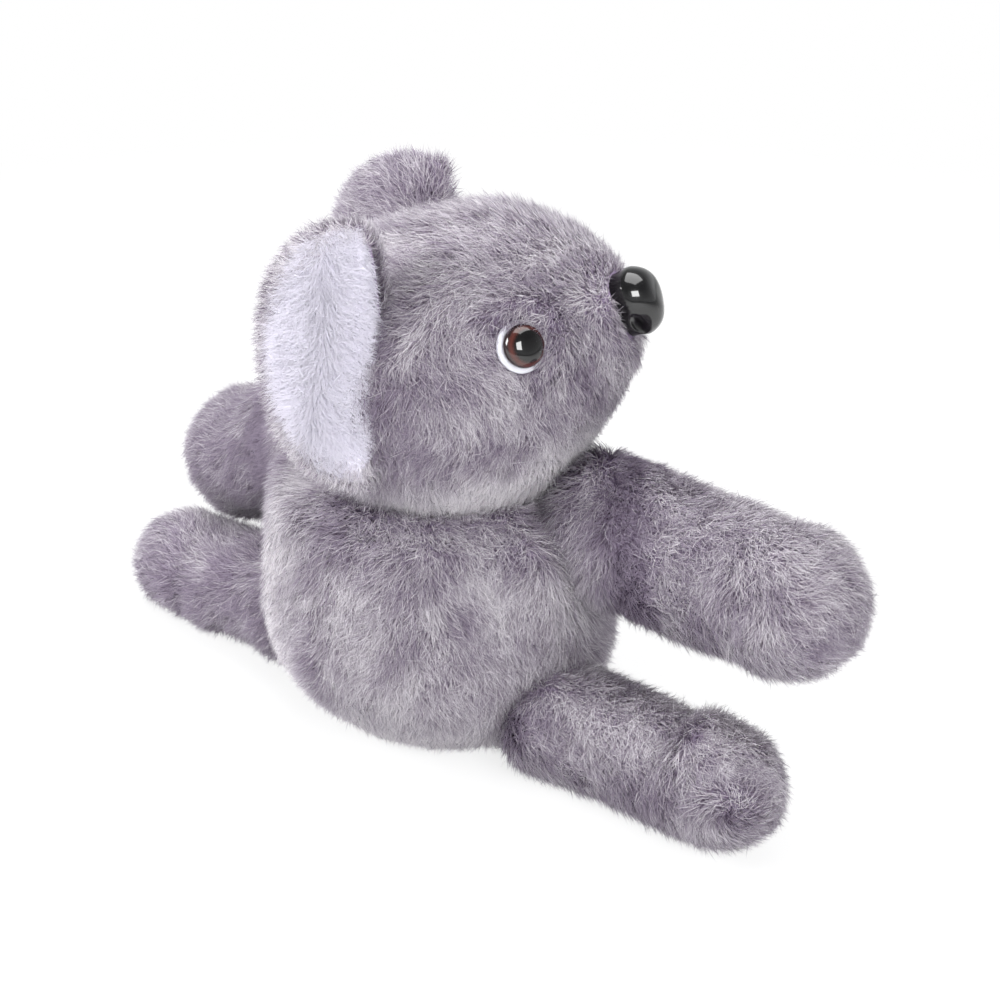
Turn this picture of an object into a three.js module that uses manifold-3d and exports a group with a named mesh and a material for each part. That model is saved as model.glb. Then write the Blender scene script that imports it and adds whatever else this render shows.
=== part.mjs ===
// A plush koala that sits upright with its legs spread sideways, its arms held out to both sides and its
// head turned over its left shoulder. Millimetres, +Z up. The belly faces -Y, the toy's left side is +X.
// Every stuffed part is a sewn cover of pile fabric round its own filling. The head turns on a two-disc
// joint in the neck, and the eyes and the nose are moulded pieces with a shank and a lock washer inside.
import * as THREE from 'three';
import { mergeVertices } from 'three/addons/utils/BufferGeometryUtils.js';
import Module from 'manifold-3d';

const wasm = await Module();
wasm.setup();

// Cover fabric and clearances
const COVER_WALL = 3;             // backing cloth with its pile pressed flat
const FILL_GAP = 0.3;             // between a cover and the filling in it
const SEAT_GAP = 0.4;             // between a cover and the cover that it is sewn to
const HARD_GAP = 0.3;             // round every moulded piece
const FLAT_CUT = 0.5;             // depth of the flats on which the toy sits
const BLOCK_SIZE = 600;           // of a block that cuts those flats, larger than the toy

// Body: an upright barrel, round about the neck axis
const BODY_RADIUS = 58;
const BODY_BELLY_HEIGHT = 44;     // height of the widest place
const BODY_SEAT_RADIUS = 30;      // flat bottom
const BODY_TOP_HEIGHT = 90;
const BODY_TOP_RADIUS = 27;       // flat top under the head
const BODY_SHOULDER_RADIUS = 53;  // just under the rounded top
const BODY_SHOULDER_HEIGHT = 78;
const BODY_BELLY_STEPS = 4;
const BODY_SHOULDER_STEPS = 2;
const BODY_TOP_STEPS = 3;
const BODY_SIDES = 14;

// Head: a ball with a short muzzle, turned over the left shoulder and tipped back
const HEAD_LENGTH = 112;          // without the muzzle
const HEAD_WIDTH = 102;
const HEAD_HEIGHT = 104;
const HEAD_SEAT_DEPTH = 16;       // how far the body's top presses into the head
const HEAD_CENTRE_HEIGHT = BODY_TOP_HEIGHT + HEAD_HEIGHT / 2 - HEAD_SEAT_DEPTH;
const HEAD_FORWARD = 4;           // centre in front of the neck axis
const HEAD_TURN_DEG = 22;         // from +X towards +Y
const HEAD_TIP_DEG = 20;          // nose up
const HEAD_ROLL_DEG = 6;          // left side down
const MUZZLE_REACH = 10;
const MUZZLE_SPREAD_DEG = 27;
const MUZZLE_RISE_DEG = 2;
const HEAD_ROWS = 10;
const HEAD_SIDES = 14;

// Ears: half-round flaps, grey behind and white in front
const EAR_HEIGHT = 84;
const EAR_WIDTH = 38;             // from the root line to the rim
const EAR_BACK_THICKNESS = 9;
const EAR_FRONT_THICKNESS = 6;
const EAR_MIDDLE = 1.5;           // from the root plane to where the two panels meet
const EAR_RIM = 4;                // width of the grey edge round the white panel
const EAR_CUP = 5;                // how far the edge curls forward
const EAR_FULLNESS = 0.85;        // below 1 is fuller than a half ellipse
const EAR_BACK_ROOT_DEPTH = 6;    // the back's other side of the root line
const EAR_FRONT_ROOT_DEPTH = 4;
const EAR_LEFT_ROOT_BACK = 20;    // root line behind the centre of the head
const EAR_RIGHT_ROOT_BACK = 12;
const EAR_ROOT_OUT = 43;
const EAR_ROOT_RISE = 15;
const EAR_SPLAY_DEG = 12;         // between the flap and the head's side
const EAR_LEAN_DEG = 4;           // top forward
const EAR_FLEX_DEG = 12;
const EAR_SWEEP_STEPS = 2;
const EAR_ROWS = 8;
const EAR_SIDES = 10;

// Arms
const ARM_REACH = 92;             // from the shoulder's hinge to the end
const ARM_ROOT_RADIUS = 23;
const ARM_PAW_RADIUS = 24.5;
const ARM_HEIGHT = 76;
const ARM_BACK = 16;
const ARM_HINGE_OUT = 60;
const ARM_LEFT_DROOP_DEG = 1;
const ARM_LEFT_FORWARD_DEG = 0;
const ARM_RIGHT_DROOP_DEG = 19;
const ARM_RIGHT_FORWARD_DEG = -16;

// Legs
const LEG_LEFT_REACH = 84;        // from the hip's hinge to the heel
const LEG_RIGHT_REACH = 79;
const LEG_ROOT_RADIUS = 19.5;
const LEG_FRONT = 5;
const LEG_HINGE_OUT = 57;
const LEG_LEFT_ROLL_DEG = 15;      // toes from straight up towards the front
const LEG_RIGHT_ROLL_DEG = 70;
const FOOT_RADIUS = 20;
const FOOT_RISE = 8;              // how far the toes stand above the shin
const LEG_HEIGHT = FOOT_RADIUS - FLAT_CUT;
const FOOT_START = 0.55;          // where the shin turns into the foot, as shares of the reach
const FOOT_FULL = 0.85;
const LIMB_MOUTH_SIDES = 6;
const LIMB_MOUTH_SHARE = 0.7;     // open root of a limb's cover, as a share of its radius
const LIMB_ROOT_ROWS = 0.3;       // share of a limb's rows on its ball root
const LIMB_END_ROWS = 0.3;        // and on its rounded end
const LIMB_ROWS = 10;
const LIMB_SIDES = 12;
const SEAT_ROWS = 10;             // facets of the hollow in which a limb's root turns
const SEAT_SIDES = 16;
const SEAT_ROOM = 0.95;         // its corners stand this far outside the root's ball

// Moulded eyes and nose
const EYE_FORWARD = 37;
const EYE_SIDE = 33;
const EYE_RISE = 6;
const EYE_RADIUS = 6.6;
const EYE_EDGE = 0.8;             // rounded edge of the dome
const EYE_DOME = 5;
const EYE_RING_RADIUS = 8;
const EYE_RING_THICKNESS = 1.6;
const EYE_RING_BEVEL = 0.6;
const EYE_DOME_STEPS = 5;
const EYE_SIDES = 16;
const NOSE_WIDTH = 20;
const NOSE_HEIGHT = 23;
const NOSE_DEPTH = 13;
const NOSE_RISE_DEG = 4;
const NOSE_FLAT_DEPTH = 2.5;      // how far the nose flattens the muzzle's end
const NOSE_TAPER = 0.28;          // wider above than below
const NOSE_BACK_ROWS = 0.25;      // share of the rows on its flat back
const NOSE_BACK_SHARE = 0.9;      // the back's size against the widest place
const NOSE_ROWS = 10;
const NOSE_SIDES = 16;
const NOSTRIL_RADIUS = 2.4;
const NOSTRIL_SIDE = 4.5;
const NOSTRIL_DROP = 5.5;
const NOSTRIL_DEPTH_SHARE = 0.95;
const SHANK_RADIUS = 1.8;
const SHANK_LENGTH = 14;
const SHANK_RIDGE = 0.35;
const SHANK_RIDGES = 2;
const SHANK_RIDGED_SHARE = 0.7;
const SHANK_SIDES = 12;
const WASHER_RADIUS = 7;
const WASHER_THICKNESS = 1.8;
const WASHER_STAND_OFF = 0.6;     // the cover's inner face is hollow under a washer
const POCKET_DEPTH = 1.6;         // how far a moulded piece presses into the cover

// Neck joint
const NECK_DISC_RADIUS = 22;
const NECK_DISC_THICKNESS = 2.5;
const NECK_POST_RADIUS = 4;
const NECK_POST_LENGTH = 24;
const NECK_HOLE_RADIUS = 7;
const NECK_WASHER_RADIUS = 9;
const NECK_WASHER_THICKNESS = 3;
const NECK_SIDES = 16;

const rad = THREE.MathUtils.degToRad;

function stuff(name, color, roughness) {
  return new THREE.MeshStandardMaterial({ name, color, roughness, metalness: 0 });
}
const fur = stuff('grey_fur', 0xa6a0ab, 0.95);
const whiteFur = stuff('white_fur', 0xe9e6ef, 0.95);
const fibre = stuff('filling', 0xf4f2ee, 1);
const eyeGloss = stuff('eye_gloss', 0x3a1d14, 0.05);
const eyeWhite = stuff('eye_white', 0xf2f2f0, 0.35);
const noseBlack = stuff('nose_black', 0x08080a, 0.08);
const nylon = stuff('nylon', 0xdedcd4, 0.5);

const koala = new THREE.Group();

// Solids

function solidOf(geometry) {
  const bare = geometry.clone();
  bare.deleteAttribute('normal');
  bare.deleteAttribute('uv');
  const merged = mergeVertices(bare, 1e-4);
  return new wasm.Manifold(new wasm.Mesh({
    numProp: 3,
    vertProperties: Float32Array.from(merged.attributes.position.array),
    triVerts: Uint32Array.from(merged.index.array),
  }));
}

function geometryOf(solid) {
  const mesh = solid.getMesh();
  const geometry = new THREE.BufferGeometry();
  geometry.setAttribute('position', new THREE.BufferAttribute(Float32Array.from(mesh.vertProperties), 3));
  geometry.setIndex(new THREE.BufferAttribute(Uint32Array.from(mesh.triVerts), 1));
  geometry.computeVertexNormals();
  return geometry;
}

function cut(solid, ...cutters) {
  return cutters.reduce((left, cutter) => left.subtract(cutter), solid);
}

// Adds a solid, given where it lies in the toy, as a mesh that sits at its own natural centre.
function place(name, solid, material, centre = new THREE.Vector3()) {
  const geometry = geometryOf(solid);
  geometry.translate(-centre.x, -centre.y, -centre.z);
  const mesh = new THREE.Mesh(geometry, material);
  mesh.name = name;
  mesh.position.copy(centre);
  koala.add(mesh);
  return mesh;
}

// A closed surface with a pole at each end: pointAt(along, round) with along 0..1 and round 0..2 pi.
function roundForm(rows, sides, pointAt) {
  const points = [pointAt(0, 0)];
  for (let row = 1; row < rows; row += 1) {
    for (let side = 0; side < sides; side += 1) {
      points.push(pointAt(row / rows, (2 * Math.PI * side) / sides));
    }
  }
  points.push(pointAt(1, 0));
  const last = points.length - 1;
  const at = (row, side) => 1 + (row - 1) * sides + (side % sides);
  const faces = [];
  for (let side = 0; side < sides; side += 1) {
    faces.push(0, at(1, side), at(1, side + 1));
    for (let row = 1; row < rows - 1; row += 1) {
      faces.push(at(row, side), at(row + 1, side), at(row + 1, side + 1));
      faces.push(at(row, side), at(row + 1, side + 1), at(row, side + 1));
    }
    faces.push(last, at(rows - 1, side + 1), at(rows - 1, side));
  }
  const geometry = new THREE.BufferGeometry();
  const flat = points.flatMap((point) => [point.x, point.y, point.z]);
  geometry.setAttribute('position', new THREE.Float32BufferAttribute(flat, 3));
  geometry.setIndex(faces);
  return facingOut(geometry);
}

// Turns the faces round where a closed geometry encloses a negative volume.
function facingOut(geometry) {
  const position = geometry.attributes.position;
  const index = geometry.index.array;
  const corner = [0, 1, 2].map(() => new THREE.Vector3());
  let volume = 0;
  for (let face = 0; face < index.length; face += 3) {
    corner.forEach((point, i) => point.fromBufferAttribute(position, index[face + i]));
    volume += corner[0].dot(corner[1].clone().cross(corner[2]));
  }
  if (volume < 0) {
    for (let face = 0; face < index.length; face += 3) {
      [index[face], index[face + 1]] = [index[face + 1], index[face]];
    }
  }
  return geometry;
}

// A turned piece about +Z from [radius, height] pairs that start and end on the axis.
function turned(outline, sides = 32) {
  const geometry = new THREE.LatheGeometry(outline.map(([r, z]) => new THREE.Vector2(r, z)), sides);
  geometry.rotateX(Math.PI / 2);
  geometry.deleteAttribute('normal');
  geometry.deleteAttribute('uv');
  return facingOut(mergeVertices(geometry, 1e-4));
}

function rod(radius, low, high, sides = 24) {
  return turned([[0, low], [radius, low], [radius, high], [0, high]], sides);
}

function moved(geometry, matrix) {
  return geometry.clone().applyMatrix4(matrix);
}

// Body

// Half the body's section, as a smooth barrel between flat ends.
function bodyOutline(inset) {
  const seatHeight = inset - FLAT_CUT;
  const seatRadius = BODY_SEAT_RADIUS - inset;
  const outline = [[0, seatHeight], [seatRadius, seatHeight]];
  for (let step = 1; step <= BODY_BELLY_STEPS; step += 1) {
    const turn = (Math.PI / 2) * (step / BODY_BELLY_STEPS);
    outline.push([
      seatRadius + (BODY_RADIUS - BODY_SEAT_RADIUS) * Math.sin(turn),
      BODY_BELLY_HEIGHT - (BODY_BELLY_HEIGHT - seatHeight) * Math.cos(turn),
    ]);
  }
  for (let step = 1; step <= BODY_SHOULDER_STEPS; step += 1) {
    const share = step / BODY_SHOULDER_STEPS;
    outline.push([
      BODY_RADIUS - (BODY_RADIUS - BODY_SHOULDER_RADIUS) * share * share - inset,
      BODY_BELLY_HEIGHT + (BODY_SHOULDER_HEIGHT - BODY_BELLY_HEIGHT) * share,
    ]);
  }
  for (let step = 1; step <= BODY_TOP_STEPS; step += 1) {
    const turn = (Math.PI / 2) * (step / BODY_TOP_STEPS);
    outline.push([
      BODY_TOP_RADIUS - inset + (BODY_SHOULDER_RADIUS - BODY_TOP_RADIUS) * Math.cos(turn),
      BODY_SHOULDER_HEIGHT + (BODY_TOP_HEIGHT - inset - BODY_SHOULDER_HEIGHT) * Math.sin(turn),
    ]);
  }
  outline.push([0, BODY_TOP_HEIGHT - inset]);
  return outline;
}

const bodyForm = (inset) => solidOf(turned(bodyOutline(inset), BODY_SIDES));

// The body grown by a gap, with its facets outside the round form, so that the head clears it as it turns.
function bodyClear(gap) {
  const outside = 1 / Math.cos(Math.PI / BODY_SIDES);
  return solidOf(turned(bodyOutline(-gap).map(([radius, height]) => [radius * outside, height]), BODY_SIDES));
}

// Everything under a height, as a block.
function blockUnder(height) {
  const block = new THREE.BoxGeometry(BLOCK_SIZE, BLOCK_SIZE, BLOCK_SIZE);
  return solidOf(block.translate(0, 0, height - BLOCK_SIZE / 2));
}

const ground = blockUnder(0);

// Limbs

// A frame with +X along the limb. side is 1 for the toy's left, -1 for its right.
function limbFrame({ side, out, y, height, droop, forward, roll }) {
  const hinge = new THREE.Vector3(side * out, y, height);
  const matrix = new THREE.Matrix4().setPosition(hinge)
    .multiply(new THREE.Matrix4().makeRotationZ(side > 0 ? -rad(forward) : Math.PI + rad(forward)))
    .multiply(new THREE.Matrix4().makeRotationY(rad(droop)))
    .multiply(new THREE.Matrix4().makeRotationX(side * rad(roll)));
  return { hinge, matrix };
}

// A limb of revolution whose root is a ball round its hinge, so that it turns in its seat.
function limbGeometry(inset, reach, rootRadius, endRadius, lift) {
  const tipStart = 1 - LIMB_END_ROWS;
  return roundForm(LIMB_ROWS, LIMB_SIDES, (along, round) => {
    let x;
    let radius;
    if (along < LIMB_ROOT_ROWS) {
      const ball = (Math.PI / 2) * (along / LIMB_ROOT_ROWS);
      x = -(rootRadius - inset) * Math.cos(ball);
      radius = (rootRadius - inset) * Math.sin(ball);
    } else if (along < tipStart) {
      const share = (along - LIMB_ROOT_ROWS) / (tipStart - LIMB_ROOT_ROWS);
      x = (reach - endRadius) * share;
      radius = rootRadius + (endRadius - rootRadius) * THREE.MathUtils.smoothstep(share, 0, 1) - inset;
    } else {
      const cap = (Math.PI / 2) * ((along - tipStart) / LIMB_END_ROWS);
      x = reach - endRadius + (endRadius - inset) * Math.sin(cap);
      radius = (endRadius - inset) * Math.cos(cap);
    }
    const rise = lift(Math.max(x, 0) / reach);
    const height = radius * Math.sin(round) * rise.stretch + rise.height;
    return new THREE.Vector3(x, radius * Math.cos(round), height);
  });
}

// The hollow in which a limb's root turns, with room for the corners of its faceted ball.
const seatBall = (radius) => new THREE.SphereGeometry(radius + SEAT_ROOM, SEAT_SIDES, SEAT_ROWS);

const straight = () => ({ stretch: 1, height: 0 });

function armForm(inset, reach) {
  return limbGeometry(inset, reach, ARM_ROOT_RADIUS, ARM_PAW_RADIUS, straight);
}

// The foot is the limb's end, taller than the shin, with its toes turned up.
function legForm(inset, reach) {
  const foot = (share) => {
    const past = THREE.MathUtils.smoothstep(share, FOOT_START, FOOT_FULL);
    return { stretch: 1 + past * (FOOT_RISE / (2 * FOOT_RADIUS)), height: past * (FOOT_RISE / 2) };
  };
  return limbGeometry(inset, reach, LEG_ROOT_RADIUS, FOOT_RADIUS, foot);
}

// Head

const headTurn = new THREE.Matrix4().makeRotationZ(rad(HEAD_TURN_DEG));
const headTip = new THREE.Matrix4().makeRotationY(-rad(HEAD_TIP_DEG));
const headLevel = headTurn.clone()
  .multiply(new THREE.Matrix4().makeTranslation(HEAD_FORWARD, 0, HEAD_CENTRE_HEIGHT))
  .multiply(new THREE.Matrix4().makeRotationX(-rad(HEAD_ROLL_DEG)));
const headMatrix = headLevel.clone().multiply(headTip);
const headCentre = new THREE.Vector3().setFromMatrixPosition(headMatrix);

const noseDirection = new THREE.Vector3(Math.cos(rad(NOSE_RISE_DEG)), 0, Math.sin(rad(NOSE_RISE_DEG)));

// Distance from the head's centre to the ball and its muzzle in a direction of the head's own frame.
function roundReach(direction) {
  const ball = 1 / Math.hypot(
    direction.x / (HEAD_LENGTH / 2),
    direction.y / (HEAD_WIDTH / 2),
    direction.z / (HEAD_HEIGHT / 2),
  );
  const muzzle = new THREE.Vector3(Math.cos(rad(MUZZLE_RISE_DEG)), 0, Math.sin(rad(MUZZLE_RISE_DEG)));
  const off = direction.angleTo(muzzle) / rad(MUZZLE_SPREAD_DEG);
  return ball + MUZZLE_REACH * Math.exp(-off * off);
}

// The same, less a flat facet at the muzzle's end, on which the nose sits.
function headReach(direction, inset = 0) {
  const facet = roundReach(noseDirection) - NOSE_FLAT_DEPTH - inset;
  const slope = direction.dot(noseDirection);
  const round = roundReach(direction) - inset;
  return slope > 0.5 ? Math.min(round, facet / slope) : round;
}

function headForm(inset) {
  const geometry = roundForm(HEAD_ROWS, HEAD_SIDES, (along, round) => {
    const turn = Math.PI * along;
    const direction = new THREE.Vector3(
      Math.cos(turn),
      Math.sin(turn) * Math.cos(round),
      Math.sin(turn) * Math.sin(round),
    );
    return direction.clone().multiplyScalar(headReach(direction, inset));
  });
  return solidOf(moved(geometry, headMatrix));
}

// A frame on the head's surface, +Z out of it, where a ray through a point of the head's frame leaves it.
function surfaceFrame(point) {
  const direction = point.clone().normalize();
  const at = direction.clone().multiplyScalar(headReach(direction));
  const across = new THREE.Vector3().crossVectors(new THREE.Vector3(0, 0, 1), direction).normalize();
  const up = new THREE.Vector3().crossVectors(direction, across);
  return headMatrix.clone().multiply(new THREE.Matrix4().makeBasis(across, up, direction).setPosition(at));
}

// Ears

// A lens in the ear's own frame: +X from root to rim, Y along the root, +Z out of the white face.
function earLens(width, height, rootDepth, below, above) {
  return roundForm(EAR_ROWS, EAR_SIDES, (along, round) => {
    const swell = Math.sin(Math.PI * along) ** EAR_FULLNESS;
    const reach = Math.cos(round) > 0 ? width : rootDepth;
    const x = reach * swell * Math.cos(round);
    const y = -(height / 2) * Math.cos(Math.PI * along);
    const z = (Math.sin(round) > 0 ? above : below) * swell * Math.sin(round);
    const share = Math.max(x, 0) / EAR_WIDTH;
    return new THREE.Vector3(x, y, z + EAR_CUP * share * share);
  });
}

// side is 1 for the toy's own left ear when it looks ahead, -1 for the right one.
function earMatrix(side, rootBack) {
  const splay = rad(EAR_SPLAY_DEG);
  const toRim = new THREE.Vector3(-Math.cos(splay), side * Math.sin(splay), 0);
  const face = new THREE.Vector3(Math.sin(splay), side * Math.cos(splay), 0);
  const along = new THREE.Vector3().crossVectors(face, toRim);
  const frame = new THREE.Matrix4().makeBasis(toRim, along, face);
  const lean = new THREE.Matrix4().makeRotationY(rad(EAR_LEAN_DEG));
  const root = new THREE.Vector3(-rootBack, side * EAR_ROOT_OUT, EAR_ROOT_RISE);
  return headLevel.clone().multiply(new THREE.Matrix4().setPosition(root)).multiply(lean).multiply(frame);
}

// The head's outside in every position that it takes, seen from an ear that bends about its root.
function headSweptByEar(matrix) {
  const back = matrix.clone().invert();
  const shell = geometryOf(headForm(-SEAT_GAP));
  let swept = null;
  for (let step = -EAR_SWEEP_STEPS; step <= EAR_SWEEP_STEPS; step += 1) {
    const bend = new THREE.Matrix4().makeRotationY(rad(EAR_FLEX_DEG) * (step / EAR_SWEEP_STEPS));
    const solid = solidOf(moved(shell, matrix.clone().multiply(bend).multiply(back)));
    swept = swept ? swept.add(solid) : solid;
  }
  return swept;
}

function ear(side, label, rootBack) {
  const matrix = earMatrix(side, rootBack);
  const headAway = headSweptByEar(matrix);
  const back = earLens(EAR_WIDTH, EAR_HEIGHT, EAR_BACK_ROOT_DEPTH, EAR_BACK_THICKNESS, EAR_MIDDLE);
  const front = earLens(
    EAR_WIDTH - EAR_RIM,
    EAR_HEIGHT - 2 * EAR_RIM,
    EAR_FRONT_ROOT_DEPTH,
    EAR_MIDDLE,
    EAR_FRONT_THICKNESS,
  );
  const root = new THREE.Vector3().setFromMatrixPosition(matrix);
  place(`ear_${label}_back`, cut(solidOf(moved(back, matrix)), headAway), fur, root);
  const clear = matrix.clone().multiply(new THREE.Matrix4().makeTranslation(0, 0, HARD_GAP));
  const room = [matrix, clear].map((frame) => solidOf(moved(back, frame)));
  const face = cut(solidOf(moved(front, matrix)), ...room, headAway);
  place(`ear_${label}_front`, face, whiteFur, root);
}

// Moulded pieces with a shank, each in a frame with +Z out of the head

function shankOutline(low, high) {
  const outline = [[0, low], [SHANK_RADIUS, low]];
  const pitch = (high - low) * SHANK_RIDGED_SHARE / SHANK_RIDGES;
  for (let ridge = 0; ridge < SHANK_RIDGES; ridge += 1) {
    const foot = low + 1 + ridge * pitch;
    outline.push([SHANK_RADIUS, foot]);
    outline.push([SHANK_RADIUS + SHANK_RIDGE, foot + pitch * 0.4]);
    outline.push([SHANK_RADIUS, foot + pitch * 0.5]);
  }
  outline.push([SHANK_RADIUS, high]);
  return outline;
}

const shankHole = SHANK_RADIUS + SHANK_RIDGE + HARD_GAP;
const pocketFloor = -POCKET_DEPTH;
const ringTop = pocketFloor + HARD_GAP + EYE_RING_THICKNESS;
const domeBack = ringTop + HARD_GAP;
const washerTop = -COVER_WALL - HARD_GAP - WASHER_STAND_OFF;
const washerLow = washerTop - WASHER_THICKNESS;

function ringOutline(bore, radius, low, high) {
  return [[bore, low], [radius, low], [radius, high], [bore, high], [bore, low]];
}

const washer = () => turned(ringOutline(shankHole, WASHER_RADIUS, washerLow, washerTop), EYE_SIDES);

// The room that a shank and its washer take in the cover and in the filling.
function shankRoom(frame) {
  const room = (radius, low, high) => solidOf(moved(rod(radius, low, high, SHANK_SIDES), frame));
  const low = washerLow - HARD_GAP;
  return {
    bore: room(shankHole, -SHANK_LENGTH - HARD_GAP, 0),
    coverRoom: room(WASHER_RADIUS + HARD_GAP, low, washerTop + HARD_GAP),
    fillRoom: room(WASHER_RADIUS + HARD_GAP, low, -COVER_WALL / 2),
  };
}

function eye(side, label) {
  const frame = surfaceFrame(new THREE.Vector3(EYE_FORWARD, side * EYE_SIDE, EYE_RISE));
  const at = new THREE.Vector3().setFromMatrixPosition(frame);
  const dome = shankOutline(-SHANK_LENGTH, domeBack);
  dome.push([EYE_RADIUS - EYE_EDGE, domeBack]);
  for (let step = 0; step < EYE_DOME_STEPS; step += 1) {
    const turn = (Math.PI / 2) * (step / EYE_DOME_STEPS);
    const height = domeBack + EYE_EDGE + (EYE_DOME - EYE_EDGE) * Math.sin(turn);
    dome.push([EYE_RADIUS * Math.cos(turn), height]);
  }
  dome.push([0, domeBack + EYE_DOME]);
  const ring = [
    [shankHole, pocketFloor + HARD_GAP],
    [EYE_RING_RADIUS, pocketFloor + HARD_GAP],
    [EYE_RING_RADIUS, ringTop - EYE_RING_BEVEL],
    [EYE_RING_RADIUS - EYE_RING_BEVEL, ringTop],
    [shankHole, ringTop],
    [shankHole, pocketFloor + HARD_GAP],
  ];
  place(`eye_${label}`, solidOf(moved(turned(dome, EYE_SIDES), frame)), eyeGloss, at);
  place(`eye_${label}_ring`, solidOf(moved(turned(ring, EYE_SIDES), frame)), eyeWhite, at);
  place(`eye_${label}_washer`, solidOf(moved(washer(), frame)), nylon, at);
  const socket = solidOf(moved(rod(EYE_RING_RADIUS + HARD_GAP, pocketFloor, EYE_DOME, EYE_SIDES), frame));
  return { socket, ...shankRoom(frame) };
}

// The moulded nose: a rounded triangle, wide at the top, crowned in front and flat behind.
function noseGeometry(grow) {
  const low = pocketFloor + HARD_GAP - grow;
  return roundForm(NOSE_ROWS, NOSE_SIDES, (along, round) => {
    let swell;
    let z;
    if (along < NOSE_BACK_ROWS) {
      swell = NOSE_BACK_SHARE * (along / NOSE_BACK_ROWS);
      z = low;
    } else {
      const turn = (Math.PI / 2) * ((along - NOSE_BACK_ROWS) / (1 - NOSE_BACK_ROWS));
      const widening = NOSE_BACK_SHARE + (1 - NOSE_BACK_SHARE) * THREE.MathUtils.smoothstep(turn, 0, 0.4);
      swell = Math.cos(turn) ** 0.8 * widening;
      z = low + (NOSE_DEPTH + grow) * Math.sin(turn) ** 0.9;
    }
    const x = (NOSE_WIDTH / 2 + grow) * Math.cos(round) * (1 + NOSE_TAPER * Math.sin(round)) * swell;
    const y = (NOSE_HEIGHT / 2 + grow) * Math.sin(round) * swell;
    return new THREE.Vector3(x, y, z);
  });
}

function nose() {
  const frame = surfaceFrame(noseDirection);
  const at = new THREE.Vector3().setFromMatrixPosition(frame);
  const shank = shankOutline(-SHANK_LENGTH, pocketFloor + HARD_GAP + NOSE_DEPTH / 2);
  shank.push([0, pocketFloor + HARD_GAP + NOSE_DEPTH / 2]);
  const nostrils = [-1, 1].map((side) => {
    const dent = new THREE.SphereGeometry(NOSTRIL_RADIUS, 12, 8);
    dent.translate(side * NOSTRIL_SIDE, -NOSTRIL_DROP, NOSE_DEPTH * NOSTRIL_DEPTH_SHARE);
    return solidOf(dent);
  });
  const moulded = cut(solidOf(noseGeometry(0)), ...nostrils).add(solidOf(turned(shank, SHANK_SIDES)));
  place('nose', solidOf(moved(geometryOf(moulded), frame)), noseBlack, at);
  place('nose_washer', solidOf(moved(washer(), frame)), nylon, at);
  const socket = solidOf(moved(noseGeometry(HARD_GAP), frame));
  return { socket, ...shankRoom(frame) };
}

// Neck joint: a disc with a post in the head, a plain disc and a lock washer in the body

const neck = {
  bodyDiscTop: BODY_TOP_HEIGHT - COVER_WALL - HARD_GAP,
  headDiscLow: BODY_TOP_HEIGHT + SEAT_GAP + COVER_WALL + HARD_GAP,
};
neck.bodyDiscLow = neck.bodyDiscTop - NECK_DISC_THICKNESS;
neck.washerTop = neck.bodyDiscLow - HARD_GAP;
neck.washerLow = neck.washerTop - NECK_WASHER_THICKNESS;
neck.headDiscTop = neck.headDiscLow + NECK_DISC_THICKNESS;
neck.postLow = neck.headDiscTop - NECK_POST_LENGTH;
neck.bore = NECK_POST_RADIUS + HARD_GAP;

function neckJoint() {
  const low = neck.postLow;
  const headDisc = [
    [0, low],
    [NECK_POST_RADIUS - 1, low],
    [NECK_POST_RADIUS, low + 1],
    [NECK_POST_RADIUS, neck.headDiscLow],
    [NECK_DISC_RADIUS, neck.headDiscLow],
    [NECK_DISC_RADIUS, neck.headDiscTop],
    [0, neck.headDiscTop],
  ];
  place('neck_post_disc', solidOf(turned(headDisc, NECK_SIDES)), nylon);
  const plain = ringOutline(neck.bore, NECK_DISC_RADIUS, neck.bodyDiscLow, neck.bodyDiscTop);
  place('neck_plain_disc', solidOf(turned(plain, NECK_SIDES)), nylon);
  const lock = ringOutline(neck.bore, NECK_WASHER_RADIUS, neck.washerLow, neck.washerTop);
  place('neck_lock_washer', solidOf(turned(lock, NECK_SIDES)), nylon);
}

// Room for the joint in the two fillings
const neckRoom = solidOf(turned([
  [0, neck.postLow - HARD_GAP],
  [neck.bore, neck.postLow - HARD_GAP],
  [neck.bore, neck.washerLow - HARD_GAP],
  [NECK_WASHER_RADIUS + HARD_GAP, neck.washerLow - HARD_GAP],
  [NECK_WASHER_RADIUS + HARD_GAP, neck.bodyDiscLow - HARD_GAP],
  [NECK_DISC_RADIUS + HARD_GAP, neck.bodyDiscLow - HARD_GAP],
  [NECK_DISC_RADIUS + HARD_GAP, neck.headDiscTop + HARD_GAP],
  [0, neck.headDiscTop + HARD_GAP],
], NECK_SIDES));
const neckHole = solidOf(rod(NECK_HOLE_RADIUS, BODY_TOP_HEIGHT - 8, BODY_TOP_HEIGHT + 8, NECK_SIDES));

// Assembly

const arm = {
  form: armForm,
  reach: ARM_REACH,
  rootRadius: ARM_ROOT_RADIUS,
  out: ARM_HINGE_OUT,
  y: ARM_BACK,
  height: ARM_HEIGHT,
  roll: 0,
};
const leg = {
  form: legForm,
  rootRadius: LEG_ROOT_RADIUS,
  out: LEG_HINGE_OUT,
  y: -LEG_FRONT,
  height: LEG_HEIGHT,
  droop: 0,
  forward: 0,
};
const limbs = [
  { ...arm, name: 'arm_left', side: 1, droop: ARM_LEFT_DROOP_DEG, forward: ARM_LEFT_FORWARD_DEG },
  { ...arm, name: 'arm_right', side: -1, droop: ARM_RIGHT_DROOP_DEG, forward: ARM_RIGHT_FORWARD_DEG },
  { ...leg, name: 'leg_left', side: 1, roll: LEG_LEFT_ROLL_DEG, reach: LEG_LEFT_REACH },
  { ...leg, name: 'leg_right', side: -1, roll: LEG_RIGHT_ROLL_DEG, reach: LEG_RIGHT_REACH },
];
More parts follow.
